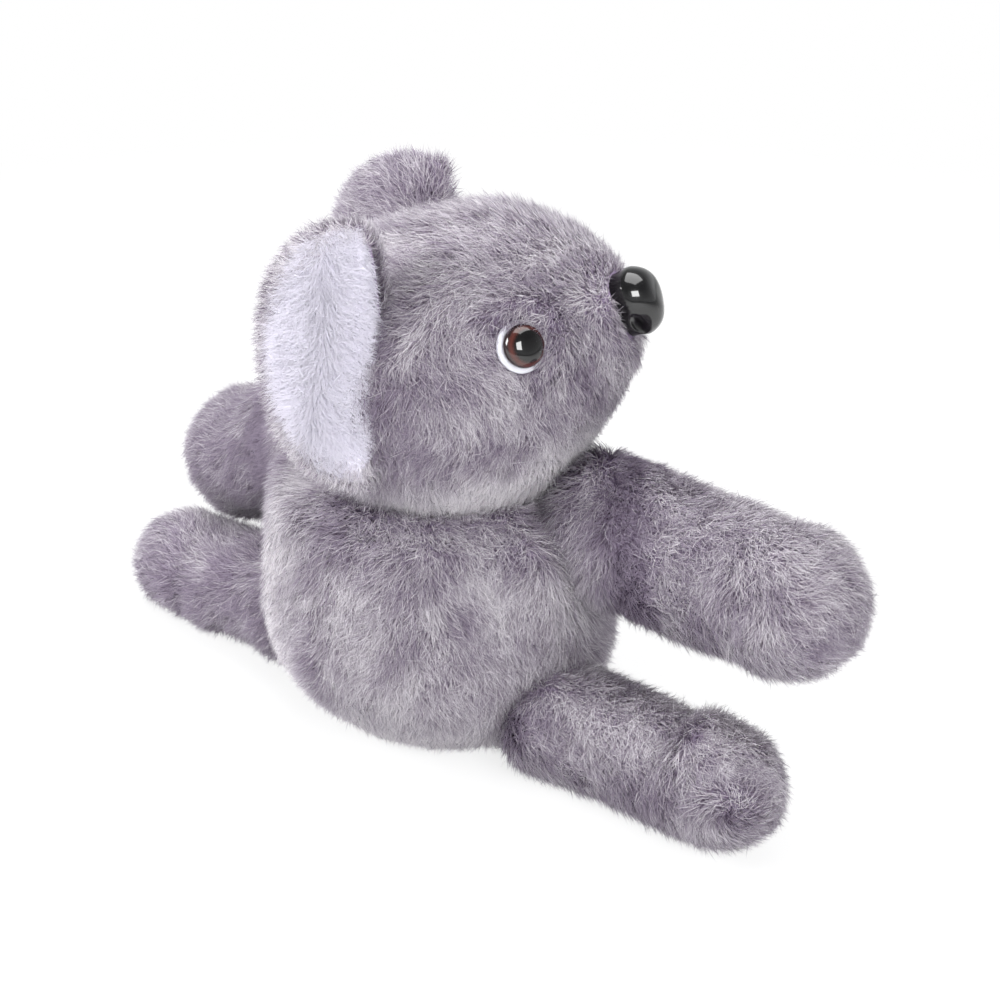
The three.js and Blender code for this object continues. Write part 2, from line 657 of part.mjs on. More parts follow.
for (const limb of limbs) {
  Object.assign(limb, limbFrame(limb));
  limb.seat = solidOf(moved(seatBall(limb.rootRadius), limb.matrix));
}
const seats = limbs.map((limb) => limb.seat);

function limbPieces(limb) {
  const solid = (inset) => solidOf(moved(limb.form(inset, limb.reach), limb.matrix));
  const mouthRadius = limb.rootRadius * LIMB_MOUTH_SHARE;
  const mouth = rod(mouthRadius, -limb.rootRadius - 1, 0, LIMB_MOUTH_SIDES).rotateY(Math.PI / 2);
  const opening = solidOf(moved(mouth, limb.matrix));
  const cover = cut(solid(0), solid(COVER_WALL), opening, ground);
  place(`${limb.name}_cover`, cover, fur, limb.hinge);
  const filling = cut(solid(COVER_WALL + FILL_GAP), blockUnder(COVER_WALL + FILL_GAP));
  place(`${limb.name}_stuffing`, filling, fibre, limb.hinge);
}

const eyes = [eye(1, 'left'), eye(-1, 'right')];
const moulded = [...eyes, nose()];

const bodyCover = cut(bodyForm(0), bodyForm(COVER_WALL), ...seats, neckHole, ground);
place('body_cover', bodyCover, fur);
place('body_stuffing', cut(bodyForm(COVER_WALL + FILL_GAP), ...seats, neckRoom), fibre);

const headHollow = cut(headForm(COVER_WALL), bodyClear(SEAT_GAP + COVER_WALL));
const headSockets = moulded.flatMap((piece) => [piece.socket, piece.bore, piece.coverRoom]);
const headCover = cut(headForm(0), bodyClear(SEAT_GAP), headHollow, neckHole, ...headSockets);
place('head_cover', headCover, fur, headCentre);
const headRooms = moulded.flatMap((piece) => [piece.bore, piece.fillRoom]);
const headFill = cut(
  headForm(COVER_WALL + FILL_GAP),
  bodyClear(SEAT_GAP + COVER_WALL + FILL_GAP),
  neckRoom,
  ...headRooms,
);
place('head_stuffing', headFill, fibre, headCentre);
neckJoint();

ear(1, 'left', EAR_LEFT_ROOT_BACK);
ear(-1, 'right', EAR_RIGHT_ROOT_BACK);
limbs.forEach(limbPieces);

export default koala;
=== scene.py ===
"""A plush koala in silky pile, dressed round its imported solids.

The sizes repeat those of the solids. They are millimetres in the frame of the solids until a mesh is made.
Every stuffed part is a closed skin of backing cloth with its filling inside. Pile stands on the skin: thin
bent blades that are combed by a flow over the surface, gathered in tufts and shaded from root to tip.
"""

import math

import bpy
import numpy as np
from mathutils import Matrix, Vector


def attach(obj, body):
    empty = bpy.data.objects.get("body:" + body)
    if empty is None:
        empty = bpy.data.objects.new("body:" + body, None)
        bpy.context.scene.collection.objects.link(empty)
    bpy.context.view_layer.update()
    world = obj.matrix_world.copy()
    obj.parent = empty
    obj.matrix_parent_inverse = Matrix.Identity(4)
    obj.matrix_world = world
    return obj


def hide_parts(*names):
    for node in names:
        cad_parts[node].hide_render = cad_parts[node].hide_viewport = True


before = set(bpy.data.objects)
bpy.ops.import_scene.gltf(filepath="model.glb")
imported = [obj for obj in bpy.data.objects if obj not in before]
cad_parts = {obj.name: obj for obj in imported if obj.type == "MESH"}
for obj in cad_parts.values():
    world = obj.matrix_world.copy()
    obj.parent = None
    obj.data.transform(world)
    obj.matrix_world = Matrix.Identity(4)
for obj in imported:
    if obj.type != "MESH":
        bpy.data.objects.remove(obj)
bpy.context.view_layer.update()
MM = 0.001

# Body
BODY_RADIUS = 58
BODY_BELLY_HEIGHT = 44
BODY_SEAT_RADIUS = 30
BODY_TOP_HEIGHT = 90
BODY_TOP_RADIUS = 27
BODY_SHOULDER_RADIUS = 53
BODY_SHOULDER_HEIGHT = 78

# Head
HEAD_LENGTH = 112
HEAD_WIDTH = 102
HEAD_HEIGHT = 104
HEAD_CENTRE_HEIGHT = 126
HEAD_FORWARD = 4
HEAD_TURN = 22
HEAD_TIP = 20
HEAD_ROLL = 6
MUZZLE_REACH = 10
MUZZLE_SPREAD = 27
MUZZLE_RISE = 2

# Ears
EAR_HEIGHT = 84
EAR_WIDTH = 38
EAR_BACK_THICKNESS = 9
EAR_FRONT_THICKNESS = 6
EAR_MIDDLE = 1.5
EAR_RIM = 4
EAR_CUP = 5
EAR_FULLNESS = 0.85
EAR_BACK_ROOT_DEPTH = 6
EAR_FRONT_ROOT_DEPTH = 4
EAR_ROOT_BACK = {"left": 20, "right": 12}
EAR_ROOT_OUT = 43
EAR_ROOT_RISE = 15
EAR_SPLAY = 12
EAR_LEAN = 4
EAR_TRIM = {"left": -5.5, "right": 7.0}    # how much narrower the skin is than the solid, besides its depth
EAR_SWING = {"left": 0.03, "right": 0.1}   # how far the skin's top leans back, per height
EAR_SAG = 4               # how far its lower end hangs lower
EAR_TURN = 3              # how far its lower end stands out to its white side
EAR_PARTING = 11          # from the root line out to the line where the white pile parts

# Limbs: hinge is the root's middle, sizes are the reach, the root's radius and the end's radius. Soft cloth
# lies a little off the solid: settle adds to the solid's droop, and shift moves all but the root. Rise is how
# much taller the foot is than the leg. Tone is how pale the pile is; the right arm and leg, on the far side,
# have lower tones that are painted shade.
LIMBS = {
    "arm_left": {"side": 1, "hinge": (60, 16, 76), "droop": 1, "settle": -1.5, "forward": 0, "roll": 0,
                 "sizes": (92, 23, 24.5), "rise": 0, "shift": (0, 0, 1.5), "tone": 0.33},
    # its lower tone is painted shade on the far side
    "arm_right": {"side": -1, "hinge": (-60, 16, 76), "droop": 19, "settle": 3.0, "forward": -16, "roll": 0,
                  "sizes": (92, 23, 24.5), "rise": 0, "shift": (0, 0, -7.0), "tone": 0.03},
    "leg_left": {"side": 1, "hinge": (57, -5, 19.5), "droop": 0, "settle": 0, "forward": 0, "roll": 15,
                 "sizes": (84, 19.5, 20), "rise": 5, "shift": (0.6, -1.4, 0), "tone": 0.26},
    # its lower tone is painted shade on the far side
    "leg_right": {"side": -1, "hinge": (-57, -5, 19.5), "droop": 0, "settle": 0, "forward": 0, "roll": 70,
                  "sizes": (79, 19.5, 20), "rise": 0, "shift": (4.4, -2.5, -1.5), "tone": -0.02},
}
FOOT_START = 0.53
FOOT_FULL = 0.71

# Eyes and nose
EYE_PLACE = (37, 33, 6)
EYE_RADIUS = 6.6
EYE_EDGE = 0.8
EYE_DOME = 5
EYE_RING_RADIUS = 8
EYE_RING_THICKNESS = 1.6
PUPIL_SHIFT = 0.08        # how far the pupil is moved towards +X, as a share of the dome's radius
NOSE_WIDTH = 20
NOSE_HEIGHT = 23
NOSE_DEPTH = 12.2
NOSE_RISE = 4
NOSE_FLAT_DEPTH = 2.5
NOSE_TAPER = 0.28
NOSTRIL_FORWARD = 4.8      # from the back of the nose to the middle of a nostril
NOSTRIL_DROP = 6.5         # from the middle of the nose down to the middle of a nostril
NOSTRIL_WIDTH = 2.0
NOSTRIL_HEIGHT = 3.2
POCKET_DEPTH = 1.6
HARD_GAP = 0.3
SHANK_RADIUS = 1.8
SHANK_LENGTH = 14

# Cloth and filling
SKIN_DEPTH = 4.2          # the skin under the combed pile's outside
FILLING_DEPTH = 9.0
NECK_GAP = 1.5            # between a skin and the solids across the neck
NECK_HOLLOW_FLOOR = 69    # where the body's filling ends, under the neck joint
NECK_HOLLOW_ROOF = 98.5   # where the head's filling starts, above it
ROOT_GAP = 0.8            # between the body's skin and a limb's
FILLING_GAP = 2.0         # the same between their fillings

# Pile: a length is along the blade, and a lift is how steeply it stands up from the skin, in degrees
PILE_PER_MM2 = 5.15
BLADES_IN_A_PIECE = 62000
BLADE_WIDTH = 0.245
BLADE_FLOOR = 0.25        # no blade goes lower, so that none reaches through the surface under the toy
FINE_TUFT = 2.4
COARSE_TUFT = 6.5
BODY_PILE = {"length": 8.4, "lift": 31, "tone": 0.52}
HEAD_PILE = {"length": 8.4, "lift": 32, "tone": 0.28}
LIMB_PILE = {"length": 8.0, "lift": 32}
EAR_FRONT_PILE = {"length": 8.5, "lift": 27, "tone": 0.55}
EAR_BACK_PILE = {"length": 7.2, "lift": 32}
# the left ear is the far one: its lower tone is painted shade
EAR_BACK_TONE = {"left": 0.25, "right": 0.55}
BROAD_PATCH = 34
MIDDLE_PATCH = 13
STREAK_WIDTH = 4.5
PILE_MAP = "OFBake"       # u is the blade's shade from dark to pale, v runs from root to tip

DOWN = np.array([0.0, 0.0, -1.0])
FAR = 99.0                # where nothing is near


# Small mathematics


def unit(rows):
    """Each row over its own length."""
    return rows / np.maximum(np.linalg.norm(rows, axis=-1, keepdims=True), 1e-9)


def ease(low, high, x):
    """0 below low, 1 above high and 3 t squared less 2 t cubed between them."""
    t = np.clip((x - low) / (high - low), 0, 1)
    return t * t * (3 - 2 * t)


def hump(x, middle, width):
    """A bell: e to the power of minus the square of the distance from the middle over the width."""
    return np.exp(-(((x - middle) / width) ** 2))


def turn_about(axis, degrees):
    """The matrix of a right-handed turn about X, Y or Z."""
    c, s = math.cos(math.radians(degrees)), math.sin(math.radians(degrees))
    rows = {
        "X": [[1, 0, 0], [0, c, -s], [0, s, c]],
        "Y": [[c, 0, s], [0, 1, 0], [-s, 0, c]],
        "Z": [[c, -s, 0], [s, c, 0], [0, 0, 1]],
    }
    return np.array(rows[axis], float)


def ripples(points, size, seed, waves=16):
    """Sine waves of about one length in many fixed directions, added and scaled to lie between -1 and 1."""
    rng = np.random.default_rng(seed)
    directions = unit(rng.normal(size=(waves, 3)))
    lengths = size * rng.uniform(0.7, 1.5, waves)
    starts = rng.uniform(0, 2 * np.pi, waves)
    total = np.zeros(len(points))
    for direction, length, start in zip(directions, lengths, starts):
        total += np.sin(points @ direction * (2 * np.pi / length) + start)
    return np.clip(0.6 * total / math.sqrt(waves / 2), -1, 1)


def degrees_past(azimuth, middle):
    """An azimuth less a middle one, wrapped to lie between -180 and 180 degrees."""
    return (azimuth - middle + 180) % 360 - 180


def level_ways(points):
    """The unit level direction from the vertical axis to each point."""
    return unit(np.stack([points[:, 0], points[:, 1], np.zeros(len(points))], 1))


TUFT_KINDS = 65536        # a power of two
CELL_FACTORS = np.array([73856093, 19349663, 83492791])    # large primes that mix the three numbers of a cell


def nearest_tuft(points, size, seed):
    """The nearest of a lattice of centres, one in each cube of a grid, each moved at random in its cube.

    Returns the centre and a random number that belongs to it.
    """
    table = np.random.default_rng(seed).random((TUFT_KINDS, 4))
    cell = np.floor(points / size).astype(np.int64)
    best = np.full(len(points), np.inf)
    centre = np.zeros_like(points)
    number = np.zeros(len(points))
    for step in np.ndindex(3, 3, 3):
        near = cell + np.array(step) - 1
        mixed = near * CELL_FACTORS
        key = (mixed[:, 0] ^ mixed[:, 1] ^ mixed[:, 2]) & (TUFT_KINDS - 1)
        place = (near + table[key, :3]) * size
        away = ((points - place) ** 2).sum(1)
        closer = away < best
        best[closer] = away[closer]
        centre[closer] = place[closer]
        number[closer] = table[key[closer], 3]
    return centre, number


# Forms


def split_faces(quads, triangles):
    """All faces as triangles, each quad cut from its first corner to its third."""
    return np.vstack([quads[:, [0, 1, 2]], quads[:, [0, 2, 3]], triangles])


def closed_grid(surface, rows, sides):
    """A closed surface with a pole at each end: surface(along, round) with along 0..1 and round 0..2 pi.

    Returns points, quads and the triangles round the poles, all facing out.
    """
    ring = np.arange(sides) * 2 * np.pi / sides
    along, around = np.meshgrid(np.arange(1, rows) / rows, ring, indexing="ij")
    ring_points = surface(along.ravel(), around.ravel())
    poles = surface(np.array([0.0, 1.0]), np.array([0.0, 0.0]))
    points = np.vstack([ring_points, poles])
    row, side = np.meshgrid(np.arange(rows - 2), np.arange(sides), indexing="ij")
    after = (side + 1) % sides
    here, below = row * sides, (row + 1) * sides
    quads = np.stack([here + side, below + side, below + after, here + after], -1)
    quads = quads.reshape(-1, 4)
    side = np.arange(sides)
    after = (side + 1) % sides
    last = (rows - 2) * sides
    first_pole = np.stack([np.full(sides, len(points) - 2), side, after], -1)
    last_pole = np.stack([np.full(sides, len(points) - 1), last + after, last + side], -1)
    triangles = np.vstack([first_pole, last_pole])
    corner = points[split_faces(quads, triangles)]
    volume = np.einsum("ij,ij->i", corner[:, 0], np.cross(corner[:, 1], corner[:, 2])).sum()
    if volume < 0:
        quads = quads[:, ::-1]
        triangles = triangles[:, ::-1]
    return points, quads, triangles


def point_normals(points, faces):
    """The unit sum of the area vectors of the faces round each point."""
    corner = points[faces]
    area = np.cross(corner[:, 1] - corner[:, 0], corner[:, 2] - corner[:, 0])
    normals = np.zeros_like(points)
    for k in range(3):
        np.add.at(normals, faces[:, k], area)
    return unit(normals)


def in_scene(name, data):
    """A new object with this data, linked to the scene."""
    thing = bpy.data.objects.new(name, data)
    bpy.context.scene.collection.objects.link(thing)
    return thing


def make_piece(name, points, quads, triangles, material, body):
    """A mesh object at the origin from millimetre points, smooth, riding on a body."""
    mesh = bpy.data.meshes.new(name)
    mesh.from_pydata((points * MM).tolist(), [], quads.tolist() + triangles.tolist())
    mesh.shade_smooth()
    mesh.materials.append(material)
    piece = in_scene(name, mesh)
    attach(piece, body)
    return piece


def padded_piece(name, form, rows, sides, material, body, solid):
    """A closed padded form in place of a solid. Returns its points and its faces as triangles."""
    points, quads, triangles = closed_grid(form, rows, sides)
    piece = make_piece(name, points, quads, triangles, material, body)
    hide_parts(solid)
    return points, split_faces(quads, triangles)


# Head


HEAD_ROTATION = turn_about("Z", HEAD_TURN) @ turn_about("X", -HEAD_ROLL) @ turn_about("Y", -HEAD_TIP)
HEAD_CENTRE = turn_about("Z", HEAD_TURN) @ np.array([HEAD_FORWARD, 0, HEAD_CENTRE_HEIGHT])


def lifted(degrees):
    """The unit direction that many degrees up from straight ahead, in the head's frame."""
    return np.array([math.cos(math.radians(degrees)), 0, math.sin(math.radians(degrees))])


def degrees_from(way, ways):
    """The angle between one unit direction and each of many."""
    return np.degrees(np.arccos(np.clip(ways @ way, -1, 1)))


MUZZLE_WAY = lifted(MUZZLE_RISE)
NOSE_WAY = lifted(NOSE_RISE)
HEAD_SWELLS = (
    (40, 3.8, 33),        # the brow: degrees up from straight ahead, how far out, and its width in degrees
    (88, -4.6, 36),       # the crown, flatter than its solid
    (-32, -1.8, 24),      # the jaw
)
NOSE_CUFF = 1.5           # how far the skin comes up round the nose
EYE_CUFF = 2.2            # and round an eye
BROW_CUFF = 1.8           # and besides on an eye's side towards the brow and the nose


def round_reach(ways):
    """From the head's centre to an ellipsoid, plus a bell about the muzzle's direction."""
    ball = 1 / np.linalg.norm(ways / (np.array([HEAD_LENGTH, HEAD_WIDTH, HEAD_HEIGHT]) / 2), axis=1)
    off = np.arccos(np.clip(ways @ MUZZLE_WAY, -1, 1)) / math.radians(MUZZLE_SPREAD)
    return ball + MUZZLE_REACH * np.exp(-off * off)


def head_reach(ways):
    """The same, cut by the flat on which the nose sits."""
    facet = round_reach(NOSE_WAY[None])[0] - NOSE_FLAT_DEPTH
    slope = ways @ NOSE_WAY
    whole = round_reach(ways)
    return np.where(slope > 0.5, np.minimum(whole, facet / np.maximum(slope, 0.5)), whole)


def to_head(points):
    """Points of the solids' frame in the head's."""
    return (points - HEAD_CENTRE) @ HEAD_ROTATION


def from_head(points):
    """Points of the head's frame in the solids'."""
    return points @ HEAD_ROTATION.T + HEAD_CENTRE


def body_top(radius):
    """Height of the body's upper side: a flat, then a quarter ellipse out to the shoulder."""
    share = np.clip((radius - BODY_TOP_RADIUS) / (BODY_SHOULDER_RADIUS - BODY_TOP_RADIUS), 0, 1)
    return BODY_SHOULDER_HEIGHT + (BODY_TOP_HEIGHT - BODY_SHOULDER_HEIGHT) * np.sqrt(1 - share * share)


def face_rise(ways):
    """How far the skin comes up round the nose and the eyes, so that the pile reaches their edges.

    Full near the middle of each and eased to nothing at 22 degrees, plus a bell about the eye's upper edge.
    """
    rise = NOSE_CUFF * (1 - ease(14, 22, degrees_from(NOSE_WAY, ways)))
    for side in (1, -1):
        eye = unit(np.array([EYE_PLACE[0], side * EYE_PLACE[1], EYE_PLACE[2]], float))
        off = degrees_from(eye, ways)
        ahead = np.clip(unit(ways - eye) @ unit(np.array([0.8, 0, 0.6])), 0, 1)
        rise = rise + EYE_CUFF * (1 - ease(10, 22, off)) + BROW_CUFF * hump(off, 13.5, 4) * ahead
    return rise


def head_form(inset, rest_gap):
    """The head's ball and muzzle with its swells and cuffs, less the inset, resting on the body's upper side
    with a gap. Waves 26 mm long move it by up to half a millimetre."""

    def surface(along, around):
        turn = np.pi * along
        ways = np.stack([np.cos(turn), np.sin(turn) * np.cos(around), np.sin(turn) * np.sin(around)], 1)
        reach = head_reach(ways) - inset
        for degrees, rise, width in HEAD_SWELLS:
            reach = reach + rise * hump(degrees_from(lifted(degrees), ways), 0, width)
        reach = reach + face_rise(ways)
        points = from_head(ways * reach[:, None])
        points += 0.5 * ripples(points, 26, 3)[:, None] * unit(points - HEAD_CENTRE)
        radius = np.hypot(points[:, 0], points[:, 1])
        floor = body_top(radius) + rest_gap
        low = (radius < BODY_SHOULDER_RADIUS) & (points[:, 2] < floor)
        points[low, 2] = floor[low]
        return points

    return surface


def inside_head(points, margin):
    """Whether each point lies deeper than the head's skin by more than the margin."""
    local = to_head(points)
    return np.linalg.norm(local, axis=1) < head_reach(unit(local)) - SKIN_DEPTH - margin


# Body


def body_outline(inset, top_gap):
    """Radius and height from the middle of the seat up to the middle of the top.

    A flat, a quarter ellipse, a parabola, a quarter ellipse and a flat, moved in along their normals.
    """
    t = np.linspace(0, 1, 40)
    belly = np.stack([
        BODY_SEAT_RADIUS + (BODY_RADIUS - BODY_SEAT_RADIUS) * np.sin(t * np.pi / 2),
        BODY_BELLY_HEIGHT * (1 - np.cos(t * np.pi / 2)),
    ], 1)
    side = np.stack([
        BODY_RADIUS - (BODY_RADIUS - BODY_SHOULDER_RADIUS) * t * t,
        BODY_BELLY_HEIGHT + (BODY_SHOULDER_HEIGHT - BODY_BELLY_HEIGHT) * t,
    ], 1)
    top = np.stack([
        BODY_TOP_RADIUS + (BODY_SHOULDER_RADIUS - BODY_TOP_RADIUS) * np.cos(t * np.pi / 2),
        BODY_SHOULDER_HEIGHT + (BODY_TOP_HEIGHT - BODY_SHOULDER_HEIGHT) * np.sin(t * np.pi / 2),
    ], 1)
    line = np.vstack([[[0, 0]], belly, side[1:], top[1:], [[0, BODY_TOP_HEIGHT]]])
    tangent = unit(np.gradient(line, axis=0))
    normal = np.stack([tangent[:, 1], -tangent[:, 0]], 1)
    depth = inset + (top_gap - inset) * ease(BODY_TOP_HEIGHT - 3, BODY_TOP_HEIGHT, line[:, 1])
    line = line - normal * depth[:, None]
    line[:, 0] = np.maximum(line[:, 0], 0)
    line[0, 0] = line[-1, 0] = 0
    return line


SEAM_AZIMUTH = -90        # of the belly seam, degrees from +X
SEAM_DEPTH = 1.6
BELLY_TUCK = 5.2          # how far the low front goes in
FLANK_AZIMUTH = 40        # of a fuller flank under the left arm
FLANK_SWELL = 3.6
SHOULDER_AZIMUTHS = (-12, -168)    # in front of the two arms
SHOULDER_SWELL = 5.5


def body_form(inset, top_gap, dent_gap):
    """The outline carried round the neck axis, with a groove at the belly seam, a tuck low in front, a fuller
    flank and shoulders, each a product of bells, and a dent for each limb."""
    line = body_outline(inset, top_gap)
    length = np.concatenate([[0], np.cumsum(np.linalg.norm(np.diff(line, axis=0), axis=1))])

    def surface(along, around):
        radius = np.interp(along * length[-1], length, line[:, 0])
        height = np.interp(along * length[-1], length, line[:, 1])
        azimuth = np.degrees(around)
        off = degrees_past(azimuth, SEAM_AZIMUTH)
        flank = degrees_past(azimuth, FLANK_AZIMUTH)
        groove = SEAM_DEPTH * hump(off, 0, 3.5) * ease(6, 24, height) * (1 - ease(74, 88, height))
        radius = radius - groove - BELLY_TUCK * hump(height, 10, 16) * hump(off, 5, 50)
        radius = radius + FLANK_SWELL * hump(flank, 0, 42) * hump(height, 24, 16)
        for front in SHOULDER_AZIMUTHS:
            beside = degrees_past(azimuth, front)
            radius = radius + SHOULDER_SWELL * hump(beside, 0, 13) * hump(height, 72, 24)
        points = np.stack([radius * np.cos(around), radius * np.sin(around), height], 1)
        points[:, :2] *= (1 + 0.008 * ripples(points, 34, 5))[:, None]
        for limb in LIMBS.values():
            points = dented(points, limb, inset - dent_gap)
        return points

    return surface


def dented(points, limb, inset):
    """Points inside a limb's root ball go towards the neck axis until they are on the ball."""
    centre = hinge_of(limb)
    radius = limb["sizes"][1] - inset
    off = points - centre
    inward = -level_ways(points)
    along = (off * inward).sum(1)
    inside = (off * off).sum(1) < radius * radius
    travel = -along + np.sqrt(np.maximum(along * along - (off * off).sum(1) + radius * radius, 0))
    return np.where(inside[:, None], points + inward * travel[:, None], points)


def beyond_body(points):
    """How far outside the body's outline points lie, measured level."""
    line = body_outline(0, 0)
    order = np.argsort(line[:, 1])
    return np.hypot(points[:, 0], points[:, 1]) - np.interp(points[:, 2], line[order, 1], line[order, 0])


# Limbs


def hinge_of(limb):
    """The middle of a limb's root."""
    return np.array(limb["hinge"], float)


def limb_rotation(limb):
    """+X runs along the limb."""
    turn = -limb["forward"] if limb["side"] > 0 else 180 + limb["forward"]
    tilt = limb["droop"] + limb["settle"]
    return turn_about("Z", turn) @ turn_about("Y", tilt) @ turn_about("X", limb["side"] * limb["roll"])


def limb_radius(x, limb, inset):
    """A ball at the root, an eased cone and a rounded end."""
    reach, root, end = limb["sizes"]
    share = np.clip(x / (reach - end), 0, 1)
    cone = root + (end - root) * ease(0, 1, share) - inset
    ball = np.sqrt(np.maximum((root - inset) ** 2 - np.minimum(x, 0) ** 2, 0))
    cap = np.sqrt(np.maximum((end - inset) ** 2 - np.maximum(x - (reach - end), 0) ** 2, 0))
    return np.where(x < 0, ball, np.where(x > reach - end, cap, cone))


ANKLE_DENT = 0.1          # as a share of the leg's radius
ANKLE_SWELL = 1.6         # of the instep past the dent
FOOT_TRIM = 0.8
LEG_ROOT_SWELL = 4.0      # in front of a leg's root
ARM_ROOT_SWELLS = ((8, 22, 4.8), (-9, 8, 5.0))    # on top of an arm: where along it, how wide, how far out
ARM_SEAM_DEPTH = 0.8


def limb_form(name, inset):
    """The limb's radius carried round its axis and swelled by bells of the way along it. A foot is taller,
    with a crease at the ankle, and an arm has a groove at its seam."""
    limb = LIMBS[name]
    reach, root, end = limb["sizes"]
    rotation, hinge = limb_rotation(limb), hinge_of(limb)
    foot = name.startswith("leg")

    def surface(along, around):
        low, high = -(root - inset), reach - inset
        x = (low + high) / 2 - (high - low) / 2 * np.cos(np.pi * along)
        radius = limb_radius(x, limb, inset)
        share = np.maximum(x, 0) / reach
        past = ease(FOOT_START, FOOT_FULL, share) * foot
        upper = np.maximum(np.sin(around), 0)
        radius = radius * (1 - ANKLE_DENT * foot * hump(share, 0.6, 0.06) * upper)
        y = radius * np.cos(around)
        z = radius * np.sin(around) * (1 + past * limb["rise"] / (2 * end)) + past * limb["rise"] / 2
        points = np.stack([x, y, z], 1) @ rotation.T + hinge
        swell = 0.7 * ripples(points, 24, 11) * ease(0.05, 0.3, share)
        outward = unit(np.stack([np.zeros_like(x), np.cos(around), np.sin(around)], 1)) @ rotation.T
        if foot:
            swell = swell + LEG_ROOT_SWELL * hump(x, 0, 13) * np.clip(-outward[:, 1], 0, 1)
            swell = swell + ANKLE_SWELL * hump(share, 0.66, 0.05) * upper - FOOT_TRIM * ease(0.6, 0.8, share)
        else:
            root_swell = sum(rise * hump(x, middle, width) for middle, width, rise in ARM_ROOT_SWELLS)
            swell = swell + root_swell * upper
            swell = swell - ARM_SEAM_DEPTH * hump(arm_seam_distance(points, limb), 2, 3.5)
        points = points + outward * swell[:, None]
        points += ease(0.05, 0.5, share)[:, None] * np.array(limb["shift"])
        points[:, 2] = np.maximum(points[:, 2], inset - 1.5)
        return points

    return surface


def arm_seam_distance(points, limb):
    """How far past its slanting seam a point of an arm lies. The seam runs from the front of the root, where
    the body's cloth comes further out, to its back."""
    return points @ unit(np.array([limb["side"] * 0.77, 0.64, 0.0])) - 56


# Ears


def ear_frame(side):
    """The middle of the root line, and columns towards the rim, along the root and out of the white face."""
    sign = 1 if side == "left" else -1
    splay = math.radians(EAR_SPLAY)
    to_rim = np.array([-math.cos(splay), sign * math.sin(splay), 0])
    face = np.array([math.sin(splay), sign * math.cos(splay), 0])
    along = np.cross(face, to_rim)
    level = turn_about("Z", HEAD_TURN) @ turn_about("X", -HEAD_ROLL)
    root = np.array([-EAR_ROOT_BACK[side], sign * EAR_ROOT_OUT, EAR_ROOT_RISE])
    place = HEAD_CENTRE + level @ root
    return place, level @ turn_about("Y", EAR_LEAN) @ np.stack([to_rim, along, face], 1)


def ear_form(side, width, height, root_depth, below, above, forward=0.0):
    """A lens: a half ellipse from the root line to the rim, curling to its white side with the square of the
    way out, and all of it moved forward to that side."""
    place, rotation = ear_frame(side)
    down = 1 if side == "right" else -1

    def surface(along, around):
        swell = np.sin(np.pi * along) ** EAR_FULLNESS
        x = np.where(np.cos(around) > 0, width, root_depth) * swell * np.cos(around)
        y = -(height / 2) * np.cos(np.pi * along)
        x = x - EAR_SWING[side] * y * down
        y = y + EAR_SAG * down * ease(0, 1, y * down / (height / 2))
        thick = np.where(np.sin(around) > 0, above, below) * swell * np.sin(around)
        share = np.maximum(x, 0) / EAR_WIDTH
        thick = thick + EAR_CUP * share * share + EAR_TURN * ease(0, 0.8, y * down / (height / 2))
        return np.stack([x, y, thick], 1) @ rotation.T + place + rotation[:, 2] * forward

    return surface


# Materials


def colour(red, green, blue):
    """Linear light from the usual 0..255 numbers."""
    parts = np.array([red, green, blue]) / 255
    linear = np.where(parts <= 0.04045, parts / 12.92, ((parts + 0.055) / 1.055) ** 2.4)
    return (*linear.tolist(), 1.0)


def feed(node, values):
    """Give a node's sockets, by name or number, the values or the outputs that they take."""
    for socket, value in values.items():
        if isinstance(value, bpy.types.NodeSocket):
            node.id_data.links.new(value, node.inputs[socket])
        else:
            node.inputs[socket].default_value = value


def add_node(tree, kind, values=None, **options):
    """A shader node with its options, such as an operation, fed with values and outputs."""
    node = tree.nodes.new(kind)
    for option, choice in options.items():
        setattr(node, option, choice)
    feed(node, values or {})
    return node


def mixed_colour(tree, share, low, high):
    """The output of two colours mixed by a share."""
    mix = add_node(tree, "ShaderNodeMix", {"Factor": share, "A": low, "B": high}, data_type="RGBA")
    return mix.outputs["Result"]


def mixed_surface(tree, share, first, second, end):
    """Two shaders mixed by a share, as what the tree puts out at its end."""
    mix = add_node(tree, "ShaderNodeMixShader", {"Fac": share, 1: first.outputs[0], 2: second.outputs[0]})
    feed(tree.nodes[end], {"Surface": mix.outputs[0]})


def new_group(name, kind, labels, result):
    """A shader node group with inputs and one output, all of a kind, and its two end nodes."""
    group = bpy.data.node_groups.new(name, "ShaderNodeTree")
    for label in labels:
        group.interface.new_socket(label, in_out="INPUT", socket_type=kind)
    group.interface.new_socket(result, in_out="OUTPUT", socket_type=kind)
    return group, group.nodes.new("NodeGroupInput"), group.nodes.new("NodeGroupOutput")


def pile_shade_group():
    """Shade of a blade: a dark and a pale pair of colours are each mixed from root to tip, then the two by
    the blade's own shade."""
    labels = ("Dark Root", "Dark Tip", "Pale Root", "Pale Tip")
    group, given, out = new_group("pile_shade", "NodeSocketColor", labels, "Colour")
    place = add_node(group, "ShaderNodeUVMap", uv_map=PILE_MAP)
    parts = add_node(group, "ShaderNodeSeparateXYZ", {0: place.outputs[0]})
    rise = {"Value": parts.outputs["Y"], "From Min": 0.2, "From Max": 0.95}
    along = add_node(group, "ShaderNodeMapRange", rise, interpolation_type="SMOOTHSTEP").outputs[0]
    dark = mixed_colour(group, along, given.outputs["Dark Root"], given.outputs["Dark Tip"])
    pale = mixed_colour(group, along, given.outputs["Pale Root"], given.outputs["Pale Tip"])
    feed(out, {"Colour": mixed_colour(group, parts.outputs["X"], dark, pale)})
    return group


